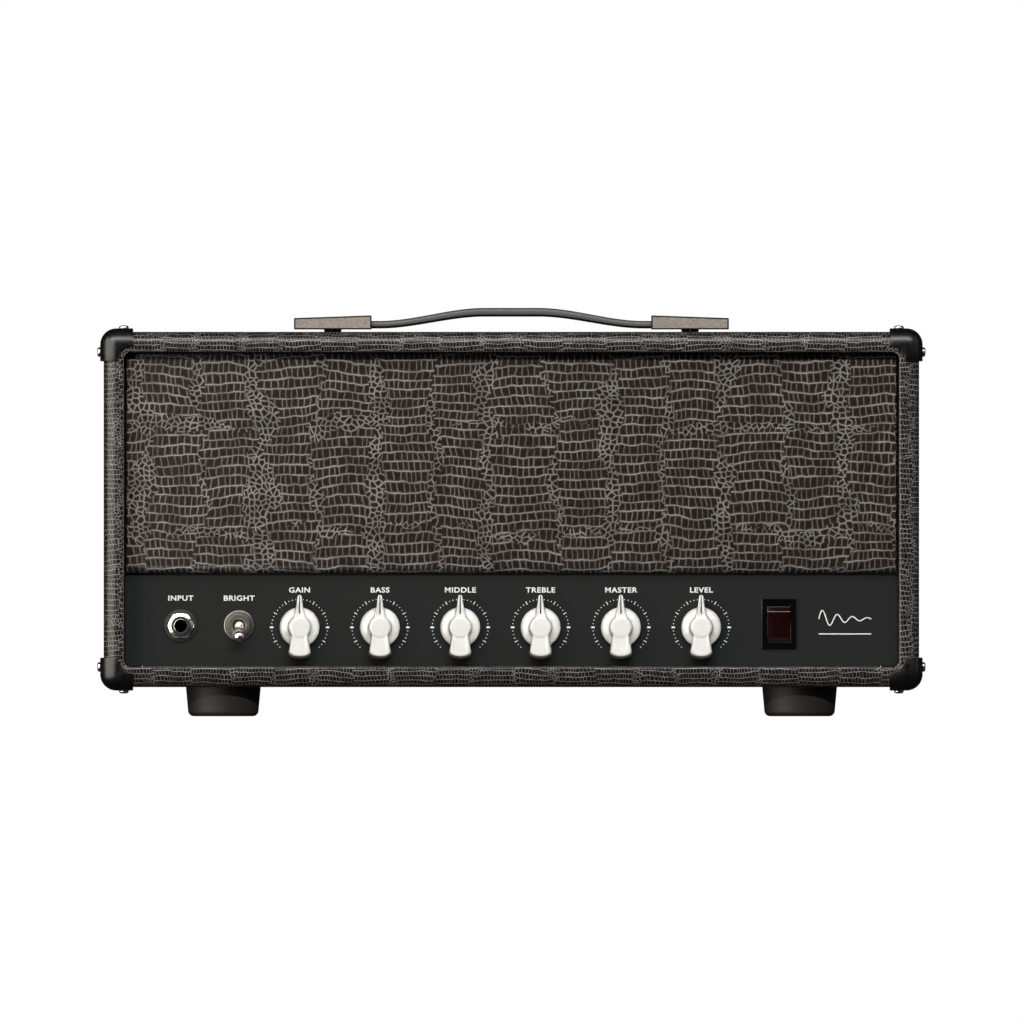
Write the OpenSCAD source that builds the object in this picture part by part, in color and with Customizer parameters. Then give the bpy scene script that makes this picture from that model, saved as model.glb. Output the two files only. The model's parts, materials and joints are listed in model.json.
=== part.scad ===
// Compact valve guitar amplifier head: a covered plywood cabinet on rubber feet, a steel
// chassis with its transformers and valves, a six-knob control panel and a strap handle.
// X is to the right seen from the front, Y to the back and Z up. The origin is on the
// floor under the middle of the cabinet. Sizes are in millimetres.

/* [Cabinet] */
// Width of the covered cabinet
cab_w = 420; // [416:1:450]
// Depth of the covered cabinet, front to back
cab_d = 200; // [200:1:230]
// Height of the covered cabinet, without its feet
cab_h = 183; // [183:1:200]
// Radius of the cabinet's outer edges
edge_r = 6.5; // [5:0.5:8]
// Thickness of the plywood boards
board_t = 9; // [8.5:0.5:10]
// Thickness of the vinyl covering
vinyl_t = 0.7; // [0.5:0.1:0.9]
// Depth of the front panel's face behind the cabinet's front edge
panel_recess = 14; // [12:0.5:15]
// Depth of the control panel's face behind the cabinet's front edge
control_recess = 20; // [20:0.5:22]
// Height of the control panel
control_h = 46.7; // [46:0.1:48]

/* [Feet and corners] */
// Height of the rubber feet
foot_h = 15; // [13:0.5:18]
// Radius of a foot where it meets the cabinet
foot_r = 19.3; // [17:0.1:20]
// Distance of the feet from the middle, along the width
foot_x = 148.4; // [140:0.1:160]
// Distance of the feet from the middle, along the depth
foot_y = 65; // [55:1:72]
// Thickness of the corner protectors
corner_t = 1.8; // [1.5:0.1:2]
// Reach of a corner protector's front leaf along the cabinet's edges
corner_leaf = 15.2; // [14:0.1:18]
// Reach of a corner protector along the depth
corner_depth = 30; // [26:1:36]
// Radius of the bite out of each leaf's inner corner
corner_bite = 8.75; // [6:0.25:9]

/* [Handle] */
// Distance of the end caps' inner ends from the middle
cap_inner_x = 72; // [70:1:80]
// Length of an end cap
cap_len = 40; // [38:1:44]
// Height of an end cap's top above the cabinet, at its inner end
cap_h = 8.5; // [8.5:0.1:10]
// Gap between an end cap's rim and the cabinet
cap_gap = 1.2; // [1:0.1:1.4]
// Width of the strap
strap_w = 25; // [22:1:26]
// Height of the strap's top above the cabinet, at the middle
strap_rise = 12.3; // [12:0.1:14]
// Thickness of the strap at the middle
strap_t = 4.5; // [4:0.1:5]
// Free play of the strap in its end caps
strap_play = 1; // [0.5:0.1:1.2]

/* [Controls] */
// Radius of a knob's round skirt
knob_r = 10.3; // [10:0.1:11]
// Height of a knob
knob_h = 16; // [15.5:0.1:16.5]
// Length of a knob's pointer from its centre
pointer_len = 16.7; // [15:0.1:17]
// Length of a knob's tail from its centre
tail_len = 16.4; // [15:0.1:17]
// Distance between neighbouring knobs
knob_pitch = 41.37; // [40:0.01:42]
// Position of the first knob along the width
first_knob_x = -109.1; // [-110:0.1:-105]
// Radius of the plug hole of a jack
jack_bore_r = 3.25; // [3.2:0.01:3.3]
// Angle of the bright switch's lever below its middle position
lever_tilt = 19; // [15:1:19]
// Angle of the power switch's rocker from its middle position
rocker_tilt = 10; // [8:1:11]

/* [Hidden] */

$fn = 48;
eps = 0.01;
far = 500;
screw_fit = 0.05;

// Cabinet faces, outside and inside
wall = board_t + 2 * vinyl_t;
cab_z0 = foot_h;
cab_z1 = foot_h + cab_h;
front_y = -cab_d / 2;
back_y = cab_d / 2;
open_x = cab_w / 2 - wall;
open_z0 = cab_z0 + wall;
open_z1 = cab_z1 - wall;
open_corner_r = 2.5;
bare_x = open_x + vinyl_t;
bare_z0 = open_z0 - vinyl_t;
bare_z1 = open_z1 + vinyl_t;
front_wrap_y = front_y + 40;
back_wrap_y = back_y - 14;

// Front panel and control panel
control_y = front_y + control_recess;
control_z0 = open_z0 + 0.5;
control_z1 = control_z0 + control_h;
control_t = 2;
control_gap = 0.6;
panel_y = front_y + panel_recess;
panel_z0 = control_z1 + 1.1;
panel_z1 = open_z1 - 0.4;
panel_x = open_x - 1.2;
panel_edge_r = 4;
batten_w = 12;
batten_drop = 3;
batten_corner_r = open_corner_r + 0.2;
cleat_in = 0.3;
plate_corner_r = 2;
panel_back_y = panel_y + vinyl_t + board_t;

// Back panel with its vent
back_face_y = back_y - 8;
back_t = back_face_y - back_wrap_y;
back_x = open_x - 0.6;
vent_x = 130;
vent_z0 = open_z1 - 82;
vent_z1 = open_z1 - 22;
grille_t = 1.2;
grille_rim = 8;
slot_count = 24;
slot_w = 4;
slot_bridge = 5;
back_screw_x = back_x - 6;
back_screw_r = 1.75;
back_screw_len = back_t + 9;
back_screw_zs = [panel_z0 + 10, (panel_z0 + panel_z1) / 2, panel_z1 - 8];

// Corner screws, measured from the cabinet's edges
corner_screw_in = 10.4;
corner_screw_y = 18;
corner_screw_len = 9;
corner_screw_r = 1.5;

// Feet
foot_taper = 1.1;
foot_edge_r = 3;
foot_recess_r = 5.5;
foot_recess_h = 8;
foot_screw_r = 2.5;

// Handle
cap_x = cap_inner_x + cap_len / 2;
cap_w = 30;
cap_wall = 1;
cap_fall = 1.4;
cap_boss_r = 4.5;
handle_bolt_r = 2.5;
strap_end_z = cab_z1 + 3.65;
strap_end_t = 3.9;
strap_end_x = cap_inner_x + 4;
strap_flat_x = 14;
strap_ease_x = 68;
strap_mid_z = cab_z1 + strap_rise - strap_t / 2;
strip_t = 1;
strip_w = 16;
strip_end_x = cap_x + 12;
strip_slot_w = 9.8;
strip_slot_in = 7;
mouth_h = strap_end_z + strap_end_t / 2 + strap_play + 0.3 - cab_z1 - cap_gap;

// Chassis
steel_t = 1.2;
chassis_w = 380;
chassis_y0 = control_y + control_t;
chassis_y1 = back_wrap_y - 0.5;
chassis_z0 = open_z0;
chassis_z1 = control_z1 - 1.4;
chassis_side_lip = 40;
chassis_lip = 10;
chassis_bolt_x = 160;
chassis_bolt_y = 28;
chassis_bolt_r = 2.5;
rear_face_y = chassis_y1 + 1.5;
rear_t = 1.5;
front_stack = control_t + steel_t;
rear_stack = rear_t + steel_t;

// Places of the controls on the control panel
knob_z = control_z0 + 19.9;
jack_x = -170.4;
jack_z = control_z0 + 20.7;
toggle_x = -140.3;
toggle_z = control_z0 + 20.8;
rocker_x = 137.7;
rocker_z = control_z0 + 21.8;

// Potentiometers, shafts and knobs
pot_r = 12;
pot_h = 10;
bushing_r = 4.75;
bushing_h = 4;
shaft_r = 3.175;
shaft_bore_r = 3.225;
shaft_len = 13;
shaft_tail = 11;
knob_gap = 0.8;
knob_skirt_h = 4.2;
knob_dome_h = 6.4;
knob_hub_r = 6;
knob_cavity_r = 8;
knob_cavity_h = 4.6;
knob_bore_r = 3.2;
knob_bore_h = 14;

// Jacks, front and rear
jack_body = [16, 20, 26];
jack_bushing_h = 4.5;
jack_bore_len = 30;
jack_washer_r = 8.55;
jack_washer_t = 1;
nut_af = 12.7;
nut_t = 2.4;
rear_jack_xs = [-60, -32, -4];
rear_jack_z = jack_z;

// Bright switch
toggle_bushing_r = 5.8;
toggle_bushing_h = 3;
toggle_bore_r = 3.4;
toggle_bore_len = 13;
toggle_body = [18, 28, 16];
toggle_nut_r = 7.85;
toggle_nut_t = 1.8;
toggle_pivot = -1;
toggle_ball_r = 3.3;
toggle_pin_r = 0.8;
toggle_pin_reach = 4.2;
lever_len = 17.2;
lever_root_r = 1.5;
lever_tip_r = 2.95;
lever_tail_len = 5.5;

// Power switch
rocker_bezel = [17.7, 25.4, 2];
rocker_body = [15.4, 22.6, 18];
rocker_window = [12.1, 19];
rocker_reach_r = 9.4;
rocker_w = 11.9;
rocker_end_z = 3.4;
rocker_mid_z = 2.2;
rocker_back_z = -6;
rocker_pin_r = 1.2;
rocker_pin_len = 0.9;

// Mains inlet with its fuse drawer
inlet_x = 145;
inlet_z = jack_z;
inlet_bezel = [30, 36, 3];
inlet_body = [27, 33, 24];
inlet_mouth = [24.6, 16.6, 18];
inlet_mouth_z = 7.5;
inlet_pin = [2, 4, 12.5];
drawer_slot = [22, 8.4, 20];
drawer_z = -10.5;
drawer_fit = 0.15;

// Transformers, capacitors and valves on the chassis
power_tf = [80, 40, 66];
power_tf_at = [140, 5];
output_tf = [56, 30, 46];
output_tf_at = [60, 18];
bell_depth = 16;
bell_foot = 10;
tf_foot = 10;
tf_bolt_r = 2;
cap_spots = [[60, -34], [28, -34], [-4, -34]];
can_r = 12.5;
can_h = 46;
valve_spots = [[5, 30, 78], [-36, 30, 78], [-77, 30, 56], [-114, 30, 56], [-151, 30, 56]];
socket_r = 14;
socket_body_r = 10;
socket_t = 3;
socket_h = 9;
valve_r = 11;
glass_t = 0.8;
valve_base_t = 2.5;
anode_r = 6.5;

// Circuit board inside the chassis
pcb_x = [-165, 75];
pcb_y = [-48, 50];
pcb_z = chassis_z1 - steel_t - 19.6;
pcb_t = 1.6;
standoff_xs = [-158, -45, 68];
standoff_y = 44;
standoff_r = 3;

// A box centred on the Z axis in X and Y, with every edge rounded
module round_box(w, d, z0, z1, r) {
    h = z1 - z0;
    translate([0, 0, (z0 + z1) / 2]) intersection() {
        translate([0, 0, -h / 2]) linear_extrude(h) round_rect(w, d, r);
        translate([0, d / 2, 0]) rotate([90, 0, 0]) linear_extrude(d) round_rect(w, h, r);
        translate([-w / 2, 0, 0]) rotate([90, 0, 90]) linear_extrude(w) round_rect(d, h, r);
    }
}

// A plain box centred on the Z axis in X and Y
module span(w, d, z0, z1) {
    translate([-w / 2, -d / 2, z0]) cube([w, d, z1 - z0]);
}

// A plain box from its lowest and highest corners
module between(a, b) {
    translate(a) cube(b - a);
}

// A box centred in X and Y, standing on the local XY plane
module block(size, z = 0) {
    translate([-size[0] / 2, -size[1] / 2, z]) cube(size);
}

// A flat outline with round corners
module round_rect(w, h, r) {
    square([w - 2 * r, h], center = true);
    square([w, h - 2 * r], center = true);
    for (x = [-1, 1], y = [-1, 1])
        translate([x * (w / 2 - r), y * (h / 2 - r)]) circle(r);
}

// Local frames: X stays, Y is up and Z points out of the front, or Z out of the back
module facing_front(x, y, z) {
    translate([x, y, z]) rotate([90, 0, 0]) children();
}
module facing_back(x, y, z) {
    translate([x, y, z]) rotate([0, 0, 180]) rotate([90, 0, 0]) children();
}

// An upright plate centred on X, from y0 to y1 and z0 to z1, with round corners
module plate(half_x, y0, y1, z0, z1) {
    translate([0, y1, (z0 + z1) / 2]) rotate([90, 0, 0])
        linear_extrude(y1 - y0) round_rect(2 * half_x, z1 - z0, plate_corner_r);
}

// A pan-head screw whose head stands on the local XY plane and whose shank points down
module pan_screw(head_r, head_h, shank_r, len) {
    rotate_extrude()
        polygon([[0, 0], [head_r, 0], [head_r, 0.3 * head_h], [0.8 * head_r, 0.8 * head_h],
                 [0.4 * head_r, head_h], [0, head_h]]);
    translate([0, 0, -len]) cylinder(r = shank_r, h = len);
}

// A hexagonal nut with two of its corners along the local X axis
module hex_nut(af, t, bore_r) {
    difference() {
        cylinder(r = af / 2 / cos(30), h = t, $fn = 6);
        translate([0, 0, -eps]) cylinder(r = bore_r, h = t + 2 * eps);
    }
}

// The clear opening through the cabinet, with its small corner radius
module opening_prism() {
    translate([0, far / 2, (open_z0 + open_z1) / 2]) rotate([90, 0, 0])
        linear_extrude(far) round_rect(2 * open_x, open_z1 - open_z0, open_corner_r);
}

// The solid that the four boards are sawn from, and the covering wraps
module board_block() {
    round_box(cab_w - 2 * vinyl_t, cab_d - 2 * vinyl_t, cab_z0 + vinyl_t, cab_z1 - vinyl_t,
              edge_r - vinyl_t);
}

// Every screw hole that goes through the covering into the boards
module corner_screw_frames() {
    for (x = [-1, 1], y = [-1, 1], z = [0, 1]) {
        translate([x * (cab_w / 2 - corner_screw_in), y * (back_y - corner_screw_y),
                   z * cab_h + cab_z0])
            rotate([z == 1 ? 0 : 180, 0, 0]) translate([0, 0, corner_t]) children();
        translate([x * (cab_w / 2 + corner_t), y * (back_y - corner_screw_y),
                   z == 1 ? cab_z1 - corner_screw_in : cab_z0 + corner_screw_in])
            rotate([0, x * 90, 0]) children();
    }
}
module cabinet_holes() {
    corner_screw_frames()
        translate([0, 0, -corner_screw_len - eps])
            cylinder(r = corner_screw_r + screw_fit, h = corner_screw_len + 2 * eps);
    for (x = [-foot_x, foot_x], y = [-foot_y, foot_y])
        translate([x, y, foot_recess_h])
            cylinder(r = foot_screw_r + screw_fit, h = foot_h - foot_recess_h + 7 + eps);
    for (x = [-chassis_bolt_x, chassis_bolt_x], y = [-chassis_bolt_y, chassis_bolt_y])
        translate([x, y, cab_z0 - eps]) cylinder(r = chassis_bolt_r + screw_fit, h = wall + 1);
    for (x = [-cap_x, cap_x])
        translate([x, 0, bare_z1 - 1]) cylinder(r = handle_bolt_r + screw_fit, h = wall + 2);
}

module top_board() {
    color("burlywood") difference() {
        intersection() {
            board_block();
            span(far, far, bare_z1, far);
        }
        cabinet_holes();
    }
}

module bottom_board() {
    color("burlywood") difference() {
        intersection() {
            board_block();
            span(far, far, 0, bare_z0);
        }
        cabinet_holes();
    }
}

module side_boards() {
    color("burlywood") difference() {
        intersection() {
            board_block();
            span(far, far, bare_z0, bare_z1);
        }
        span(2 * bare_x, far, 0, far);
        cabinet_holes();
    }
}

module vinyl_covering() {
    color([0.2, 0.17, 0.15]) difference() {
        round_box(cab_w, cab_d, cab_z0, cab_z1, edge_r);
        difference() {
            board_block();
            span(2 * bare_x, far, bare_z0, bare_z1);
        }
        opening_prism();
        between([-bare_x, front_wrap_y, bare_z0], [bare_x, back_wrap_y, bare_z1]);
        cabinet_holes();
    }
}

// The front panel's cross-section, depth along X: its lower front edge is round
module panel_section(inset) {
    w = board_t + vinyl_t - inset;
    h = panel_z1 - panel_z0 - 2 * inset;
    r = panel_edge_r - inset;
    translate([inset, inset]) {
        translate([r, 0]) square([w - r, h]);
        translate([0, r]) square([w, h - r]);
        translate([r, r]) circle(r);
    }
}
module panel_slab(inset) {
    translate([inset - panel_x, panel_y, panel_z0]) rotate([90, 0, 90])
        linear_extrude(2 * (panel_x - inset)) panel_section(inset);
}

module front_panel_board() {
    color("burlywood") panel_slab(vinyl_t);
}

module front_panel_vinyl() {
    color([0.23, 0.19, 0.17]) difference() {
        panel_slab(0);
        panel_slab(vinyl_t);
    }
}

// Battens that fill the opening's outline between two depths and two heights
module opening_fill(y0, y1, z0, z1) {
    intersection() {
        translate([0, y1, (open_z0 + open_z1) / 2]) rotate([90, 0, 0])
            linear_extrude(y1 - y0)
                round_rect(2 * open_x, open_z1 - open_z0, batten_corner_r);
        between([-far, y0 - 1, z0], [far, y1 + 1, z1]);
    }
}

module panel_battens() {
    low_z = chassis_z1 + 0.6;
    color("tan") {
        difference() {
            opening_fill(panel_back_y, panel_back_y + batten_w, low_z, open_z1);
            between([-open_x + batten_w, panel_back_y - 1, low_z + batten_w],
                    [open_x - batten_w, panel_back_y + batten_w + 1, open_z1 - batten_w]);
        }
        difference() {
            opening_fill(chassis_y0, chassis_y0 + batten_w, open_z0, low_z);
            between([-chassis_w / 2 - cleat_in, chassis_y0 - 1, 0],
                    [chassis_w / 2 + cleat_in, chassis_y0 + batten_w + 1, far]);
        }
        for (x = [-1, 1]) difference() {
            translate([x * (bare_x - batten_w / 2), back_wrap_y - batten_w / 2, 0])
                span(batten_w, batten_w, panel_z0 + 2, panel_z1 - batten_drop);
            back_screw_holes();
        }
    }
}

module corner_protectors() {
    mid_z = (cab_z0 + cab_z1) / 2;
    leaf_x = cab_w / 2 - corner_leaf;
    leaf_z = cab_h / 2 - corner_leaf;
    leaf_y = cab_d / 2 - corner_depth;
    color([0.06, 0.06, 0.06]) difference() {
        round_box(cab_w + 2 * corner_t, cab_d + 2 * corner_t, cab_z0 - corner_t,
                  cab_z1 + corner_t, edge_r + corner_t);
        round_box(cab_w, cab_d, cab_z0, cab_z1, edge_r);
        span(2 * leaf_x, far, 0, far);
        span(far, 2 * leaf_y, 0, far);
        span(far, far, mid_z - leaf_z, mid_z + leaf_z);
        for (a = [-1, 1], b = [-1, 1]) {
            translate([a * leaf_x, far / 2, mid_z + b * leaf_z]) rotate([90, 0, 0])
                cylinder(r = corner_bite, h = far);
            translate([a * leaf_x, b * leaf_y, 0]) cylinder(r = corner_bite, h = far);
            translate([-far / 2, a * leaf_y, mid_z + b * leaf_z]) rotate([0, 90, 0])
                cylinder(r = corner_bite, h = far);
        }
        cabinet_holes();
    }
}

module corner_screws() {
    color("silver") corner_screw_frames()
        pan_screw(2.5, 1.5, corner_screw_r, corner_screw_len);
}

// Outline of a foot: a slight taper, a round lower edge and a recess for its screw
module foot_outline() {
    low_r = foot_r - foot_taper;
    arc = [for (a = [0:15:90])
        [low_r - foot_edge_r * (1 - cos(a)), foot_edge_r * (1 - sin(a))]];
    polygon(concat([[foot_r, foot_h]], arc,
        [[foot_recess_r, 0], [foot_recess_r, foot_recess_h],
         [foot_screw_r + screw_fit, foot_recess_h], [foot_screw_r + screw_fit, foot_h]]));
}
module rubber_feet() {
    color([0.13, 0.12, 0.11]) for (x = [-foot_x, foot_x], y = [-foot_y, foot_y])
        translate([x, y, 0]) rotate_extrude() foot_outline();
}

module foot_screws() {
    color("silver") for (x = [-foot_x, foot_x], y = [-foot_y, foot_y])
        translate([x, y, foot_recess_h]) rotate([180, 0, 0])
            pan_screw(4.6, 3, foot_screw_r, foot_h - foot_recess_h + 7);
}

module back_screw_frames() {
    for (x = [-back_screw_x, back_screw_x], z = back_screw_zs)
        facing_back(x, back_face_y, z) children();
}
module back_screw_holes() {
    back_screw_frames() translate([0, 0, -back_screw_len - eps])
        cylinder(r = back_screw_r + screw_fit, h = back_screw_len + 1);
}

module back_panel() {
    color([0.12, 0.12, 0.12]) difference() {
        plate(back_x, back_wrap_y, back_face_y, panel_z0, panel_z1);
        translate([0, far / 2, (vent_z0 + vent_z1) / 2]) rotate([90, 0, 0])
            linear_extrude(far) round_rect(2 * vent_x, vent_z1 - vent_z0, 6);
        back_screw_holes();
    }
}

module vent_grille() {
    pitch = (2 * vent_x - slot_bridge) / slot_count;
    slot_h = (vent_z1 - vent_z0 - 3 * slot_bridge) / 2;
    mid_z = (vent_z0 + vent_z1) / 2;
    color([0.1, 0.1, 0.1]) difference() {
        between([-vent_x - grille_rim, back_wrap_y - grille_t, vent_z0 - grille_rim],
                [vent_x + grille_rim, back_wrap_y, vent_z1 + grille_rim]);
        for (i = [0:slot_count - 1], row = [-1, 1])
            translate([-vent_x + slot_bridge / 2 + (i + 0.5) * pitch, far / 2,
                       mid_z + row * (slot_h + slot_bridge) / 2])
                rotate([90, 0, 0]) linear_extrude(far) round_rect(slot_w, slot_h, 1.9);
    }
}

module back_panel_screws() {
    color("silver") back_screw_frames() pan_screw(3.5, 2, back_screw_r, back_screw_len);
}

// Side outline of an end cap: flat below, its top falling towards its outer end
module cap_outline(inset) {
    polygon([[inset, -eps], [cap_len - inset, -eps],
             [cap_len - inset, cap_h - cap_gap - cap_fall - inset], [inset, cap_h - cap_gap - inset]]);
}
module end_cap() {
    translate([cap_inner_x, cap_w / 2, cab_z1 + cap_gap]) rotate([90, 0, 0]) difference() {
        linear_extrude(cap_w) cap_outline(0);
        translate([0, -eps, cap_wall]) linear_extrude(cap_w - 2 * cap_wall) cap_outline(cap_wall);
        translate([-1, -eps, (cap_w - strap_w) / 2 - 0.5])
            cube([cap_wall + 2, mouth_h, strap_w + 1]);
    }
}
module handle_end_caps() {
    color([0.62, 0.6, 0.57]) for (side = [0, 1]) mirror([side, 0, 0]) {
        end_cap();
        translate([cap_x, 0, cab_z1]) difference() {
            cylinder(r = cap_boss_r, h = cap_h - cap_fall);
            translate([0, 0, -eps])
                cylinder(r = handle_bolt_r + screw_fit, h = cap_h - cap_fall - 1.5);
        }
    }
}

module handle_bolts() {
    color("silver") for (x = [-cap_x, cap_x])
        translate([x, 0, bare_z1]) rotate([180, 0, 0])
            pan_screw(7, 3.5, handle_bolt_r, cab_z1 - bare_z1 + cap_h - cap_fall - 2);
}

// Middle height and thickness of the strap at a distance x from the middle
function strap_ease(x) = let (t = min(1, max(0, (x - strap_flat_x) / (strap_ease_x - strap_flat_x))))
    t * t * (3 - 2 * t);
function strap_z(x) = strap_mid_z + (strap_end_z - strap_mid_z) * strap_ease(abs(x));
function strap_half(x) = (strap_t + (strap_end_t - strap_t) * strap_ease(abs(x))) / 2;
strap_steps = 19;
strap_xs = [for (i = [-strap_steps:strap_steps]) i * strap_end_x / strap_steps];

// A band along the strap's middle line, open to a thickness of its own
module strap_band(xs, w, half) {
    translate([0, w / 2, 0]) rotate([90, 0, 0]) linear_extrude(w)
        polygon(concat([for (x = xs) [x, strap_z(x) - half(x)]],
                       [for (i = [len(xs) - 1:-1:0]) [xs[i], strap_z(xs[i]) + half(xs[i])]]));
}
strip_xs = concat([-strip_end_x], strap_xs, [strip_end_x]);
module spring_strip_solid(grow) {
    strap_band(strip_xs, strip_w + 2 * grow, function(x) strip_t / 2 + grow);
}

module handle_strap() {
    color([0.25, 0.24, 0.23]) difference() {
        strap_band(strap_xs, strap_w, function(x) strap_half(x));
        spring_strip_solid(0);
    }
}

module handle_spring_strip() {
    color("silver") difference() {
        spring_strip_solid(0);
        for (x = [-cap_x, cap_x]) translate([x, 0, cab_z1])
            linear_extrude(far) {
                square([2 * strip_slot_in, strip_slot_w], center = true);
            }
    }
}

module chassis() {
    inner_w = chassis_w - 2 * steel_t;
    color([0.75, 0.76, 0.77]) difference() {
        between([-chassis_w / 2, chassis_y0, chassis_z0], [chassis_w / 2, chassis_y1, chassis_z1]);
        between([-inner_w / 2, chassis_y0 + steel_t, chassis_z0 + steel_t],
                [inner_w / 2, chassis_y1 - steel_t, chassis_z1 - steel_t]);
        between([-chassis_w / 2 + chassis_side_lip, chassis_y0 + chassis_lip, chassis_z0 - 1],
                [chassis_w / 2 - chassis_side_lip, chassis_y1 - chassis_lip, chassis_z0 + 2]);
        for (i = [0:5])
            facing_front(knob_x(i), control_y, knob_z) translate([0, 0, -front_stack - 1])
                cylinder(r = bushing_r + screw_fit, h = 5);
        facing_front(jack_x, control_y, jack_z) translate([0, 0, -front_stack - 1])
            cylinder(r = bushing_r + screw_fit, h = 5);
        facing_front(toggle_x, control_y, toggle_z) translate([0, 0, -front_stack - 1])
            cylinder(r = toggle_bushing_r + screw_fit, h = 5);
        facing_front(rocker_x, control_y, rocker_z)
            block([rocker_body[0] + 0.2, rocker_body[1] + 0.2, 5], -front_stack - 1);
        for (x = rear_jack_xs)
            facing_back(x, rear_face_y, rear_jack_z) translate([0, 0, -rear_stack - 1])
                cylinder(r = bushing_r + screw_fit, h = 5);
        facing_back(inlet_x, rear_face_y, inlet_z)
            block([inlet_body[0] + 0.2, inlet_body[1] + 0.2, 5], -rear_stack - 1);
        for (spot = valve_spots)
            translate([spot[0], spot[1], chassis_z1 - 5]) cylinder(r = socket_body_r + 0.2, h = 10);
        for (at = tf_bolt_spots)
            translate([at[0], at[1], chassis_z1 - 5]) cylinder(r = tf_bolt_r + screw_fit, h = 10);
        for (x = [-chassis_bolt_x, chassis_bolt_x], y = [-chassis_bolt_y, chassis_bolt_y])
            translate([x, y, chassis_z0 - 1]) cylinder(r = chassis_bolt_r + screw_fit, h = 5);
    }
}

module chassis_bolts() {
    color("silver") for (x = [-chassis_bolt_x, chassis_bolt_x], y = [-chassis_bolt_y, chassis_bolt_y])
        translate([x, y, cab_z0]) rotate([180, 0, 0])
            pan_screw(5, 2.8, chassis_bolt_r, wall + 8);
}

module control_panel() {
    color([0.14, 0.15, 0.15]) difference() {
        plate(open_x - control_gap, control_y, control_y + control_t, control_z0, control_z1);
        for (i = [0:5])
            facing_front(knob_x(i), control_y, knob_z) translate([0, 0, -5])
                cylinder(r = bushing_r + screw_fit, h = 10);
        facing_front(jack_x, control_y, jack_z) translate([0, 0, -5])
            cylinder(r = bushing_r + screw_fit, h = 10);
        facing_front(toggle_x, control_y, toggle_z) translate([0, 0, -5])
            cylinder(r = toggle_bushing_r + screw_fit, h = 10);
        facing_front(rocker_x, control_y, rocker_z)
            block([rocker_body[0] + 0.2, rocker_body[1] + 0.2, 10], -5);
    }
}

module rear_panel() {
    color([0.14, 0.15, 0.15]) difference() {
        plate(open_x - control_gap, chassis_y1, rear_face_y, control_z0, control_z1);
        for (x = rear_jack_xs)
            facing_back(x, rear_face_y, rear_jack_z) translate([0, 0, -5])
                cylinder(r = bushing_r + screw_fit, h = 10);
        facing_back(inlet_x, rear_face_y, inlet_z)
            block([inlet_body[0] + 0.2, inlet_body[1] + 0.2, 10], -5);
    }
}

module circuit_board() {
    color([0.1, 0.35, 0.2])
        between([pcb_x[0], pcb_y[0], pcb_z], [pcb_x[1], pcb_y[1], pcb_z + pcb_t]);
}

// Film capacitors and resistors lying in rows on the circuit board
module board_components() {
    color([0.8, 0.55, 0.2]) for (i = [0:8], y = [-24, 24])
        translate([-140 + i * 23, y, pcb_z + pcb_t + 3]) rotate([0, 90, 0])
            cylinder(r = 3, h = 15, $fn = 32);
    color([0.6, 0.5, 0.4]) for (i = [0:16])
        translate([-148 + i * 13, 0, pcb_z + pcb_t + 1.2]) rotate([90, 0, 0])
            cylinder(r = 1.2, h = 8, $fn = 24);
}

module board_standoffs() {
    color("gold") for (x = standoff_xs, y = [-standoff_y, standoff_y])
        translate([x, y, pcb_z + pcb_t])
            cylinder(r = standoff_r, h = chassis_z1 - steel_t - pcb_z - pcb_t, $fn = 32);
}

// Laminated core of a transformer: a block of width, depth and height with two windows
module tf_core(size) {
    leg = size[0] / 6;
    difference() {
        block(size);
        for (x = [-1, 1])
            translate([x * 1.5 * leg, 0, 0])
                block([leg, size[1] + 2, size[2] - 2 * leg], leg);
    }
}
// The winding round the core's middle leg
module tf_coil(size, overhang) {
    leg = size[0] / 6;
    difference() {
        block([4 * leg - 0.6, size[1] + 2 * overhang, size[2] - 2 * leg - 1], leg + 0.5);
        block([2 * leg + 0.2, size[1] + 0.4, size[2]]);
    }
}
tf_bolt_spots = concat(
    [for (x = [-30, 30], y = [-1, 1])
        [power_tf_at[0] + x, power_tf_at[1] + y * (power_tf[1] / 2 + bell_depth + bell_foot / 2)]],
    [for (x = [-1, 1])
        [output_tf_at[0] + x * (output_tf[0] / 2 + tf_foot / 2), output_tf_at[1]]]);

module power_transformer_core() {
    color([0.25, 0.25, 0.26]) translate([power_tf_at[0], power_tf_at[1], chassis_z1]) tf_core(power_tf);
}

module power_transformer_coil() {
    color([0.75, 0.45, 0.2]) translate([power_tf_at[0], power_tf_at[1], chassis_z1])
        tf_coil(power_tf, 11);
}

module power_transformer_covers() {
    w = power_tf[0] - 4;
    color([0.1, 0.1, 0.1]) translate([power_tf_at[0], power_tf_at[1], chassis_z1])
        for (y = [0, 1]) mirror([0, y, 0]) difference() {
            union() {
                between([-w / 2, power_tf[1] / 2, 0], [w / 2, power_tf[1] / 2 + bell_depth, power_tf[2]]);
                between([-w / 2, power_tf[1] / 2, 0],
                        [w / 2, power_tf[1] / 2 + bell_depth + bell_foot, steel_t]);
            }
            between([-w / 2 + steel_t, power_tf[1] / 2 - 1, steel_t],
                    [w / 2 - steel_t, power_tf[1] / 2 + bell_depth - steel_t, power_tf[2] - steel_t]);
            for (x = [-30, 30])
                translate([x, power_tf[1] / 2 + bell_depth + bell_foot / 2, -1])
                    cylinder(r = tf_bolt_r + screw_fit, h = 5);
        }
}

module output_transformer_core() {
    color([0.25, 0.25, 0.26]) translate([output_tf_at[0], output_tf_at[1], chassis_z1]) {
        tf_core(output_tf);
        for (x = [0, 1]) mirror([x, 0, 0]) difference() {
            between([output_tf[0] / 2 - eps, -output_tf[1] / 2, 0],
                    [output_tf[0] / 2 + tf_foot, output_tf[1] / 2, 2]);
            translate([output_tf[0] / 2 + tf_foot / 2, 0, -1])
                cylinder(r = tf_bolt_r + screw_fit, h = 5);
        }
    }
}

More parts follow.
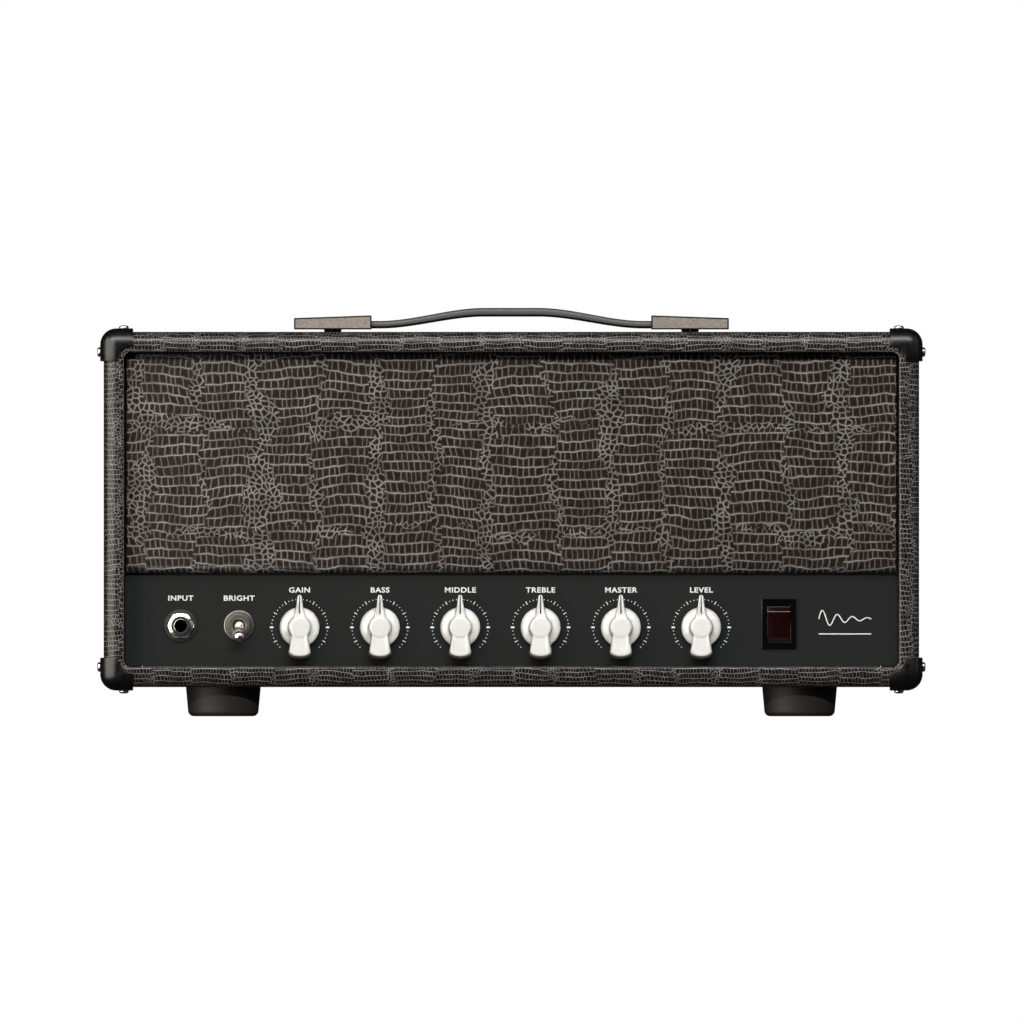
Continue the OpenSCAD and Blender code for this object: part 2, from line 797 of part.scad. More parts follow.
module output_transformer_coil() {
    color([0.85, 0.8, 0.6]) translate([output_tf_at[0], output_tf_at[1], chassis_z1])
        tf_coil(output_tf, 8);
}

module transformer_bolts() {
    color("silver") for (i = [0:len(tf_bolt_spots) - 1])
        translate([tf_bolt_spots[i][0], tf_bolt_spots[i][1], chassis_z1 + (i < 4 ? steel_t : 2)])
            pan_screw(3.6, 2.5, tf_bolt_r, 7);
}

module filter_capacitors() {
    color([0.2, 0.3, 0.45]) for (at = cap_spots)
        translate([at[0], at[1], chassis_z1]) rotate_extrude()
            polygon([[0, 0], [can_r, 0], [can_r, can_h - 6], [can_r - 0.8, can_h - 5],
                     [can_r, can_h - 4], [can_r, can_h - 1], [can_r - 1, can_h], [0, can_h]]);
}

module valve_sockets() {
    color([0.9, 0.89, 0.85]) for (spot = valve_spots)
        translate([spot[0], spot[1], chassis_z1]) difference() {
            union() {
                cylinder(r = socket_r, h = socket_t);
                translate([0, 0, -socket_h]) cylinder(r = socket_body_r, h = socket_h + eps);
            }
            translate([0, 0, -socket_h + 2]) cylinder(r = 7.5, h = far);
        }
}

// Glass button of a valve with its nine pins
module valve_bases() {
    color([0.75, 0.8, 0.8]) for (spot = valve_spots)
        translate([spot[0], spot[1], chassis_z1 + socket_t]) {
            cylinder(r = valve_r - 0.4, h = valve_base_t);
            for (i = [0:8]) rotate([0, 0, i * 36])
                translate([5.95, 0, -6]) cylinder(r = 0.5, h = 6 + eps, $fn = 16);
        }
}

// Half outline of a valve's envelope: a straight wall, a round shoulder and a sealed tip
function envelope(r, h, tip) = concat(
    [[r, 0]], [for (a = [0:15:75]) [r * cos(a), h - 8 - r + r * sin(a)]],
    [[tip, h - 7], [tip * 0.6, h - 1], [0, h]]);
module valve_glass() {
    color([0.85, 0.9, 0.92, 0.4]) for (spot = valve_spots)
        translate([spot[0], spot[1], chassis_z1 + socket_t + valve_base_t])
            rotate_extrude() difference() {
                polygon(concat([[0, 0]], envelope(valve_r, spot[2], 2.4)));
                translate([0, -eps])
                    polygon(concat([[0, 0]], envelope(valve_r - glass_t, spot[2] - 2, 1.2)));
            }
}

// Anode box of a valve on its two support rods
module valve_anodes() {
    color([0.35, 0.35, 0.37]) for (spot = valve_spots)
        translate([spot[0], spot[1], chassis_z1 + socket_t + valve_base_t]) {
            translate([0, 0, 7]) cylinder(r = anode_r, h = spot[2] * 0.45);
            for (x = [-4, 4]) translate([x, 0, 0]) cylinder(r = 0.6, h = 7 + eps, $fn = 16);
        }
}

function knob_x(i) = first_knob_x + i * knob_pitch;

module potentiometers() {
    color([0.7, 0.7, 0.72]) for (i = [0:5])
        facing_front(knob_x(i), control_y, knob_z) difference() {
            union() {
                translate([0, 0, -front_stack - pot_h]) cylinder(r = pot_r, h = pot_h);
                translate([0, 0, -front_stack - eps])
                    cylinder(r = bushing_r, h = front_stack + bushing_h + eps);
                for (x = [-5, 0, 5])
                    translate([x, -pot_r - 2.5, 0]) block([2, 8, 1], -front_stack - 4);
            }
            translate([0, 0, -front_stack - pot_h + 2]) cylinder(r = shaft_bore_r, h = far);
        }
}

module potentiometer_nuts() {
    color("silver") for (i = [0:5])
        facing_front(knob_x(i), control_y, knob_z) hex_nut(nut_af, nut_t, bushing_r + screw_fit);
}

module shaft(i) {
    color("silver") facing_front(knob_x(i), control_y, knob_z)
        translate([0, 0, -shaft_tail]) cylinder(r = shaft_r, h = shaft_tail + knob_gap + shaft_len);
}
module gain_shaft() { shaft(0); }
module bass_shaft() { shaft(1); }
module middle_shaft() { shaft(2); }
module treble_shaft() { shaft(3); }
module master_shaft() { shaft(4); }
module level_shaft() { shaft(5); }

// Plan of a knob's grip: a narrow pointer upwards and a wide tail with a round end
module grip_outline() {
    tail_half = 5.9;
    tail_round = 2.8;
    polygon(concat(
        [[-4.6, 0], [-1.95, knob_r], [-1.15, pointer_len - 0.5], [-0.6, pointer_len],
         [0.6, pointer_len], [1.15, pointer_len - 0.5], [1.95, knob_r], [4.6, 0], [4.4, -4.1]],
        [for (a = [0:15:180])
            [tail_half * cos(a), -(tail_len - tail_round) - tail_round * sin(a)]],
        [[-4.4, -4.1]]));
}
module knob(i) {
    color([0.95, 0.93, 0.87]) facing_front(knob_x(i), control_y, knob_z)
        translate([0, 0, knob_gap]) difference() {
            union() {
                rotate_extrude() polygon([[0, 0], [knob_r, 0], [knob_r, knob_skirt_h],
                    [knob_r - 1, knob_skirt_h + 1], [knob_hub_r, knob_dome_h],
                    [knob_hub_r, knob_h], [0, knob_h]]);
                linear_extrude(knob_h) grip_outline();
            }
            translate([0, 0, -eps]) cylinder(r = knob_cavity_r, h = knob_cavity_h + eps);
            cylinder(r = knob_bore_r, h = knob_bore_h);
        }
}
module gain_knob() { knob(0); }
module bass_knob() { knob(1); }
module middle_knob() { knob(2); }
module treble_knob() { knob(3); }
module master_knob() { knob(4); }
module level_knob() { knob(5); }

// A quarter-inch jack in a local frame whose Z points out of its panel's face
module jack(stack) {
    difference() {
        union() {
            block(jack_body, -stack - jack_body[2]);
            translate([0, 0, -stack - eps])
                cylinder(r = bushing_r, h = stack + jack_bushing_h + eps);
        }
        translate([0, 0, jack_bushing_h - jack_bore_len])
            cylinder(r = jack_bore_r, h = jack_bore_len + eps);
    }
}
module jack_places() {
    facing_front(jack_x, control_y, jack_z) children(0);
    for (x = rear_jack_xs) facing_back(x, rear_face_y, rear_jack_z) children(1);
}
module jack_sockets() {
    color([0.15, 0.15, 0.15]) jack_places() {
        jack(front_stack);
        jack(rear_stack);
    }
}

module jack_washer() {
    difference() {
        cylinder(r = jack_washer_r, h = jack_washer_t);
        translate([0, 0, -eps]) cylinder(r = bushing_r + screw_fit, h = jack_washer_t + 1);
    }
}
module jack_washers() {
    color([0.08, 0.08, 0.08]) jack_places() {
        jack_washer();
        jack_washer();
    }
}

module jack_nut() {
    translate([0, 0, jack_washer_t]) hex_nut(nut_af, nut_t, bushing_r + screw_fit);
}
module jack_nuts() {
    color("silver") jack_places() {
        jack_nut();
        jack_nut();
    }
}

module bright_switch_body() {
    color([0.6, 0.6, 0.6]) facing_front(toggle_x, control_y, toggle_z) difference() {
        union() {
            block(toggle_body, -front_stack - toggle_body[2]);
            translate([0, 0, -front_stack - eps])
                cylinder(r = toggle_bushing_r, h = front_stack + toggle_bushing_h + eps);
        }
        translate([0, 0, toggle_bushing_h - toggle_bore_len])
            cylinder(r = toggle_bore_r, h = toggle_bore_len + eps);
        translate([0, 0, toggle_pivot]) rotate([0, 90, 0])
            cylinder(r = toggle_pin_r + 0.06, h = 2 * toggle_pin_reach + 0.4, center = true);
    }
}

module bright_switch_nut() {
    color("silver") facing_front(toggle_x, control_y, toggle_z) difference() {
        cylinder(r = toggle_nut_r, h = toggle_nut_t);
        translate([0, 0, -eps]) cylinder(r = toggle_bushing_r + screw_fit, h = toggle_nut_t + 1);
    }
}

// The bat-shaped lever on its pivot ball and pin, at rest pointing down
module bright_switch_lever() {
    color("silver") facing_front(toggle_x, control_y, toggle_z) translate([0, 0, toggle_pivot])
        rotate([lever_tilt, 0, 0]) {
            sphere(toggle_ball_r);
            rotate([0, 90, 0])
                cylinder(r = toggle_pin_r, h = 2 * toggle_pin_reach, center = true);
            rotate_extrude() polygon([[0, 0], [lever_root_r, 0], [lever_root_r, 5],
                [lever_tip_r, lever_len - 2], [lever_tip_r, lever_len + 0.5],
                [lever_tip_r - 0.8, lever_len + 2.1], [lever_tip_r - 2, lever_len + 2.8],
                [0, lever_len + lever_tip_r]]);
            translate([0, 0, -lever_tail_len]) cylinder(r = 1.2, h = lever_tail_len);
        }
}

module power_switch_housing() {
    color([0.04, 0.04, 0.04]) facing_front(rocker_x, control_y, rocker_z) difference() {
        union() {
            block(rocker_bezel);
            block(rocker_body, -rocker_body[2]);
        }
        block([rocker_window[0], rocker_window[1], 14], -11);
        translate([-rocker_w / 2 - rocker_pin_len - 0.1, 0, 0]) rotate([0, 90, 0])
            cylinder(r = rocker_pin_r + 0.06, h = rocker_w + 2 * rocker_pin_len + 0.2);
    }
}

// The rocker seen from its side: two faces that fall to a crease above the pivot
module rocker_outline() {
    intersection() {
        circle(rocker_reach_r);
        polygon([[-rocker_reach_r, rocker_back_z], [rocker_reach_r, rocker_back_z],
                 [rocker_reach_r, rocker_end_z], [0, rocker_mid_z], [-rocker_reach_r, rocker_end_z]]);
    }
}
module power_switch_rocker() {
    color([0.3, 0.02, 0.02]) facing_front(rocker_x, control_y, rocker_z)
        rotate([rocker_tilt, 0, 0]) {
            translate([-rocker_w / 2, 0, 0]) rotate([90, 0, 90])
                linear_extrude(rocker_w) rocker_outline();
            translate([-rocker_w / 2 - rocker_pin_len, 0, 0]) rotate([0, 90, 0])
                cylinder(r = rocker_pin_r, h = rocker_w + 2 * rocker_pin_len);
        }
}

module mains_inlet() {
    color([0.07, 0.07, 0.07]) facing_back(inlet_x, rear_face_y, inlet_z) {
        difference() {
            union() {
                block(inlet_bezel);
                block(inlet_body, -inlet_body[2]);
            }
            translate([0, inlet_mouth_z, 0])
                block(inlet_mouth + [0, 0, 1], inlet_bezel[2] - inlet_mouth[2]);
            translate([0, drawer_z, 0])
                block(drawer_slot + [0, 0, 1], inlet_bezel[2] - drawer_slot[2]);
        }
        for (pin = [[-7, -2], [7, -2], [0, 2]])
            translate([pin[0], inlet_mouth_z + pin[1], 0])
                block(inlet_pin, inlet_bezel[2] - inlet_mouth[2] - eps);
    }
}

module fuse_drawer() {
    color([0.1, 0.1, 0.1]) facing_back(inlet_x, rear_face_y, inlet_z) translate([0, drawer_z, 0])
        difference() {
            block([drawer_slot[0] - 2 * drawer_fit, drawer_slot[1] - 2 * drawer_fit,
                   drawer_slot[2] - 0.5], inlet_bezel[2] - drawer_slot[2] + 0.5 - 0.2);
            translate([0, 1.2, 0]) block([8, 3, 4], inlet_bezel[2] - 1.5);
        }
}

top_board();
bottom_board();
side_boards();
vinyl_covering();
front_panel_board();
front_panel_vinyl();
panel_battens();
corner_protectors();
corner_screws();
rubber_feet();
foot_screws();
back_panel();
vent_grille();
back_panel_screws();
handle_end_caps();
handle_bolts();
handle_strap();
handle_spring_strip();
chassis();
chassis_bolts();
control_panel();
rear_panel();
circuit_board();
board_components();
board_standoffs();
power_transformer_core();
power_transformer_coil();
power_transformer_covers();
output_transformer_core();
output_transformer_coil();
transformer_bolts();
filter_capacitors();
valve_sockets();
valve_bases();
valve_glass();
valve_anodes();
potentiometers();
potentiometer_nuts();
gain_shaft();
bass_shaft();
middle_shaft();
treble_shaft();
master_shaft();
level_shaft();
gain_knob();
bass_knob();
middle_knob();
treble_knob();
master_knob();
level_knob();
jack_sockets();
jack_washers();
jack_nuts();
bright_switch_body();
bright_switch_nut();
bright_switch_lever();
power_switch_housing();
power_switch_rocker();
mains_inlet();
fuse_drawer();
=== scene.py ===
import json
import math
from functools import partial

import bmesh
import bpy
from bpy.props import FloatProperty, FloatVectorProperty, IntProperty, PointerProperty
from mathutils import Matrix, Vector


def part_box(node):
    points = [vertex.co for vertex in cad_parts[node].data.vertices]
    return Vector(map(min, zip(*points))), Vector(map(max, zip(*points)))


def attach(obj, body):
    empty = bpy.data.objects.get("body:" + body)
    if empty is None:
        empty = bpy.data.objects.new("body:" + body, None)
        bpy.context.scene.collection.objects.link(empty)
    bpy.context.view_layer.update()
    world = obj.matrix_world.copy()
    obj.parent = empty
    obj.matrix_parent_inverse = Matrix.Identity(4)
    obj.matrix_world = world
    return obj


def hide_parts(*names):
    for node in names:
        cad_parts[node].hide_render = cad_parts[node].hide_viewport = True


bl_info = {
    "name": "Valve amplifier head",
    "version": (1, 0),
    "blender": (4, 5, 0),
    "location": "View3D > Sidebar > Amp head",
    "description": "Covering, corners, knobs, switches and fittings of a valve guitar amplifier head",
    "category": "Add Mesh",
}

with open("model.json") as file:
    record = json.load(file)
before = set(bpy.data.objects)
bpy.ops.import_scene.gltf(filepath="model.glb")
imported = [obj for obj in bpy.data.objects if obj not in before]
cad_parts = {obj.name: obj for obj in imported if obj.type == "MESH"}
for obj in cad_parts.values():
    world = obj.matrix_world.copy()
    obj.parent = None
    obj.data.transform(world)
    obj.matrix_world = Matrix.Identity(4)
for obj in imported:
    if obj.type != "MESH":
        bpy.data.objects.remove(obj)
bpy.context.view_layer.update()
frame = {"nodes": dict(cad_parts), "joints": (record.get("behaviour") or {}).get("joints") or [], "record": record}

MM = 0.001
RECORD = frame["record"]
BODY_OF = {node: body for body, nodes in RECORD["behaviour"]["bodies"].items() for node in nodes}
SLOT_OF = {row["node"]: row["material_slot"] for row in RECORD["subparts"]}
JOINT_AT = {joint["name"]: Vector(joint.get("pos_m", (0, 0, 0))) for joint in frame["joints"]}
CABINET_MIDDLE_Z = sum(corner.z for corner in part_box("vinyl_covering")) / 2
KNOBS = ("gain", "bass", "middle", "treble", "master", "level")


def linear(colour):
    """An sRGB hex colour as the linear red, green and blue that the shaders take."""
    parts = [int(colour[i:i + 2], 16) / 255 for i in (0, 2, 4)]
    return tuple(c / 12.92 if c <= 0.04045 else ((c + 0.055) / 1.055) ** 2.4 for c in parts)


# ---------------------------------------------------------------- settings

def length(name, description, value):
    """A length that a user may change, given in millimetres."""
    return FloatProperty(name=name, description=description, default=value * MM, min=0.0,
                         unit="LENGTH", precision=5)


def tint(name, description, value):
    """A colour that a user may change, given as sRGB hex."""
    return FloatVectorProperty(name=name, description=description, default=linear(value),
                               min=0.0, max=1.0, subtype="COLOR")


class AmpSizes(bpy.types.PropertyGroup):
    """Sizes of the surface detail"""
    edge: length("Cabinet edge radius", "Radius of the covered cabinet's outer edges", 6.5)
    lip: length("Opening lip radius", "Radius of the covering round the openings' rims", 1.3)
    opening_corner: length("Opening corner radius", "Radius of the openings' corners", 2.5)
    cabinet_row: length("Cabinet scale row", "Height of a row of scales on the cabinet", 2.6)
    panel_row: length("Panel scale row", "Height of a row of scales on the front panel", 5.0)
    panel_edge: length("Panel lower edge", "Radius of the front panel's lower edge", 4.0)
    corner_bite: length("Corner bite", "Radius of the bite out of each corner leaf", 7.9)
    dial_radius: length("Dial radius", "Radius of the ring of marks round a knob", 14.4)
    dial_mark: length("Dial mark", "Length of a long mark on a dial", 1.75)
    legend_height: length("Legend height", "Height of the capital letters", 2.6)
    dial_count: IntProperty(name="Dial marks", description="Number of marks round a knob",
                            default=37, min=3, max=101)


class AmpColours(bpy.types.PropertyGroup):
    """Colours of the finishes that show"""
    scale: tint("Scales", "Middle of a scale of the embossed vinyl", "271d17")
    crease: tint("Creases", "Creases between the scales", "948f89")
    enamel: tint("Corner enamel", "Pressed corners and the vent grille", "0a0a0a")
    powder: tint("Control panel", "Powder coat of the control and rear panels", "1f2120")
    ink: tint("Legends", "Screen-printed legends and dial marks", "f2f2ee")
    ivory: tint("Knobs", "Moulded knobs", "fdf9f2")
    strap: tint("Strap", "Moulded handle strap", "4b4945")
    nickel: tint("Handle caps", "Worn plating of the handle's end caps", "9c958d")
    rubber: tint("Feet", "Rubber of the feet", "272320")
    rocker: tint("Rocker", "Power switch's rocker", "1c0203")


def sizes():
    return bpy.context.scene.amp_sizes


def colours():
    return bpy.context.scene.amp_colours


# ---------------------------------------------------------------- nodes and finishes

def first_output(value):
    """The socket that a node, or a socket itself, gives."""
    if isinstance(value, bpy.types.Node):
        return next(socket for socket in value.outputs if socket.enabled)
    return value


def add_node(tree, kind, links=None, **settings):
    """Add a node with its settings, and a value, node or socket for each input, by name or number."""
    node = tree.nodes.new(kind)
    for name, value in settings.items():
        setattr(node, name, value)
    for key, value in (links or {}).items():
        socket = node.inputs[key] if isinstance(key, int) else next(
            s for s in node.inputs if s.enabled and s.name == key)
        value = first_output(value)
        if isinstance(value, bpy.types.NodeSocket):
            tree.links.new(value, socket)
        else:
            socket.default_value = value
    return node


def math_node(tree, operation, *values):
    """A Math node with a value, node or socket for each input in turn."""
    return add_node(tree, "ShaderNodeMath", dict(enumerate(values)), operation=operation)


def remap(tree, value, start, end, low=0.0, high=1.0, curve="LINEAR"):
    """A value carried from one range to another and held at its ends."""
    return add_node(tree, "ShaderNodeMapRange", {
        "Value": value, "From Min": start, "From Max": end, "To Min": low, "To Max": high},
        interpolation_type=curve)


def blend(tree, factor, first, second):
    """One colour passing into another as the factor rises."""
    return add_node(tree, "ShaderNodeMix", {"Factor": factor, "A": first, "B": second},
                    data_type="RGBA")


def scaled(tree, vector, factor):
    """A vector, or a colour, made longer by a factor."""
    return add_node(tree, "ShaderNodeVectorMath", {0: vector, "Scale": factor}, operation="SCALE")


def rgba(colour, factor=1.0):
    """Red, green and blue, or sRGB hex, as the four parts that a colour socket takes."""
    colour = linear(colour) if isinstance(colour, str) else colour
    return (*[min(1.0, c * factor) for c in colour], 1.0)


def new_finish(name, **shader_values):
    """A material with a Principled shader, and the shader's constant values by their names."""
    material = bpy.data.materials.new(name)
    material.use_nodes = True
    tree = material.node_tree
    tree.nodes.clear()
    shader = add_node(tree, "ShaderNodeBsdfPrincipled",
                      {key.replace("_", " "): value for key, value in shader_values.items()})
    add_node(tree, "ShaderNodeOutputMaterial", {"Surface": shader})
    return material, tree, shader


def feed(tree, shader, **sources):
    """Link nodes to the shader's inputs."""
    for key, source in sources.items():
        tree.links.new(first_output(source), shader.inputs[key.replace("_", " ")])


# Most of a noise's values lie in this span
NOISE_SPAN = (0.3, 0.7)


def grained(name, colour, grain, roughness, swing=0.2, rough_swing=0.1, bump=0.0,
            stretch=(1, 1, 1), flecks=(), **shader_values):
    """A finish whose tone, gloss and height vary in one noise of a real grain size, with
    patches of other colours where a noise of the patches' own size is highest."""
    material, tree, shader = new_finish(name, **shader_values)
    place = add_node(tree, "ShaderNodeTexCoord").outputs["Object"]
    mapped = add_node(tree, "ShaderNodeMapping",
                      {"Vector": place, "Scale": tuple(s / grain for s in stretch)})
    noise = add_node(tree, "ShaderNodeTexNoise",
                     {"Vector": mapped, "Scale": 1.0, "Detail": 4.0, "Roughness": 0.6})
    tone = blend(tree, remap(tree, noise, *NOISE_SPAN), rgba(colour, 1 - swing),
                 rgba(colour, 1 + swing))
    for patch_colour, patch_size, start, end in flecks:
        patches = add_node(tree, "ShaderNodeTexNoise",
                           {"Vector": place, "Scale": 1 / patch_size, "Detail": 3.0})
        tone = blend(tree, remap(tree, patches, start, end), tone, rgba(patch_colour))
    feed(tree, shader, Base_Color=tone, Roughness=remap(
        tree, noise, *NOISE_SPAN, roughness - rough_swing / 2, roughness + rough_swing / 2))
    if bump:
        feed(tree, shader, Normal=add_node(tree, "ShaderNodeBump",
                                           {"Height": noise, "Distance": bump}))
    return material


def crocodile_vinyl(name, row, crease_width, block_width, shift, tone):
    """Embossed vinyl: rows of crocodile scales, broken into blocks by winding bands of small
    round scales, with pale dye left in the creases. The UV map is in metres on the sheet, and
    all distances here are in rows."""
    material, tree, shader = new_finish(name)

    maths, ramp = partial(math_node, tree), partial(remap, tree, curve="SMOOTHSTEP")

    def noise(place, scale, detail):
        return add_node(tree, "ShaderNodeTexNoise", {"Vector": place, "Scale": scale,
                                                    "Detail": detail}, noise_dimensions="2D")

    def crease(distance, reach, strength):
        core = ramp(distance, 0.2 * reach, reach, 0.8 * strength, 0.0)
        return maths("ADD", core, ramp(distance, 0.5 * reach, 2.6 * reach, 0.2 * strength, 0.0))

    flat = scaled(tree, add_node(tree, "ShaderNodeUVMap", uv_map="sheet"), 1 / row)

    # The rows and columns wander slowly, and each crease is a little ragged
    sheet = flat
    for scale, reach in ((0.12, 1.5), (0.8, 0.32)):
        centred = add_node(tree, "ShaderNodeVectorMath", {
            0: noise(flat, scale, 1.0).outputs["Color"], 1: (0.5, 0.5, 0.5)}, operation="SUBTRACT")
        sheet = add_node(tree, "ShaderNodeVectorMath", {0: centred, 1: (reach, reach, 0), 2: sheet},
                         operation="MULTIPLY_ADD")
    across = add_node(tree, "ShaderNodeSeparateXYZ", {"Vector": sheet})

    # Bands: wide and narrow upright ones in turn, a block apart, and level ones further apart
    level_apart = 10.7
    wobble = add_node(tree, "ShaderNodeSeparateColor", {
        "Color": noise(flat, 0.16, 2.0).outputs["Color"]})
    upright = maths("ADD", maths("MULTIPLY_ADD", wobble.outputs[0], 4.0, across.outputs["X"]),
                    shift)
    level = maths("MULTIPLY_ADD", wobble.outputs[1], 4.5, across.outputs["Y"])
    swell = maths("MULTIPLY_ADD", wobble.outputs[2], 4.0, -2.0)
    from_wide = maths("PINGPONG", upright, block_width)
    wide = maths("SUBTRACT", from_wide, maths("ADD", 0.75, swell))
    narrow = maths("SUBTRACT", maths("SUBTRACT", block_width, from_wide),
                   maths("MULTIPLY_ADD", swell, 0.5, 0.3))
    flat_band = maths("SUBTRACT", maths("PINGPONG", level, level_apart / 2),
                      maths("MULTIPLY_ADD", swell, -0.8, 0.15))
    band = ramp(maths("MINIMUM", maths("MINIMUM", wide, narrow), flat_band), -0.1, 0.1, 1.0, 0.0)

    # Each block's rows are half a row out from its neighbour's
    block = maths("FLOORED_MODULO", maths("FLOOR", maths("DIVIDE", upright, block_width)), 2.0)
    rows = maths("MULTIPLY_ADD", block, 0.5, across.outputs["Y"])
    row_part = maths("PINGPONG", rows, 0.5)
    along_row = maths("MULTIPLY_ADD", maths("FLOOR", rows), 7.31,
                      maths("MULTIPLY", across.outputs["X"], 1.6))
    cells = {"W": along_row, "Scale": 1.0, "Randomness": 0.55}
    cell = add_node(tree, "ShaderNodeTexVoronoi", cells, voronoi_dimensions="1D",
                    feature="DISTANCE_TO_EDGE")
    cell_tone = add_node(tree, "ShaderNodeTexVoronoi", cells,
                         voronoi_dimensions="1D").outputs["Color"]
    pebble = add_node(tree, "ShaderNodeTexVoronoi", {"Vector": sheet, "Scale": 1.75,
                      "Randomness": 0.9}, voronoi_dimensions="2D", feature="DISTANCE_TO_EDGE")
    grid = maths("MAXIMUM", crease(row_part, 0.085 * crease_width, 0.95),
                 crease(cell, 0.12 * crease_width, 0.5))
    pebbles = crease(pebble, 0.13 * crease_width, 0.85)
    creases = add_node(tree, "ShaderNodeMix", {"Factor": band, "A": grid, "B": pebbles})
    creases = maths("MULTIPLY", creases, ramp(noise(flat, 0.45, 2.0), *NOISE_SPAN, 0.6, 1.1))

    # Painted shade: each scale darkens towards its sides, where it curves down into the creases; the scales also
    # differ a little in tone from each other
    shade = maths("MULTIPLY", ramp(cell, 0.06, 0.32, 0.6, 1.0),
                  ramp(noise(flat, 3.2, 3.0), *NOISE_SPAN, 0.72, 1.28))
    shade = maths("MULTIPLY", shade, ramp(cell_tone, 0.0, 1.0, 0.8, 1.2))
    # A tone below one darkens the scales of one copy of the vinyl; on the cabinet this is a painted shade
    middle = tuple(part * tone for part in colours().scale)
    # The turned-over lip of the covering is drawn paler where the mesh marks it
    pale_lip = add_node(tree, "ShaderNodeAttribute", attribute_name="pale_lip").outputs["Fac"]
    pale = maths("MAXIMUM", creases, maths("MULTIPLY", pale_lip, 0.55))
    colour = blend(tree, pale, scaled(tree, middle, shade), rgba(colours().crease))
    feed(tree, shader, Base_Color=colour, Roughness=ramp(creases, 0.0, 1.0, 0.27, 0.4),
         Specular_IOR_Level=ramp(creases, 0.0, 0.8, 0.28, 0.65),
         Normal=add_node(tree, "ShaderNodeBump", {"Height": creases, "Strength": 0.5,
                                                 "Distance": 0.03 * row}, invert=True))
    return material


def striped(name, colour, other, pitch, roughness, axis="Z", **shader_values):
    """A finish built up in layers of a real pitch: laminations, plies or turns of wire."""
    material, tree, shader = new_finish(name, **shader_values)
    place = add_node(tree, "ShaderNodeTexCoord").outputs["Object"]
    wave = add_node(tree, "ShaderNodeTexWave",
                    {"Vector": place, "Scale": math.pi / 10 / pitch, "Distortion": 0.6,
                     "Detail": 1.0}, bands_direction=axis)
    wave = wave.outputs["Fac"]
    feed(tree, shader, Base_Color=blend(tree, wave, rgba(colour), rgba(other)),
         Roughness=remap(tree, wave, 0.0, 1.0, roughness, roughness + 0.12),
         Normal=add_node(tree, "ShaderNodeBump", {"Height": wave, "Distance": 0.15 * pitch}))
    return material


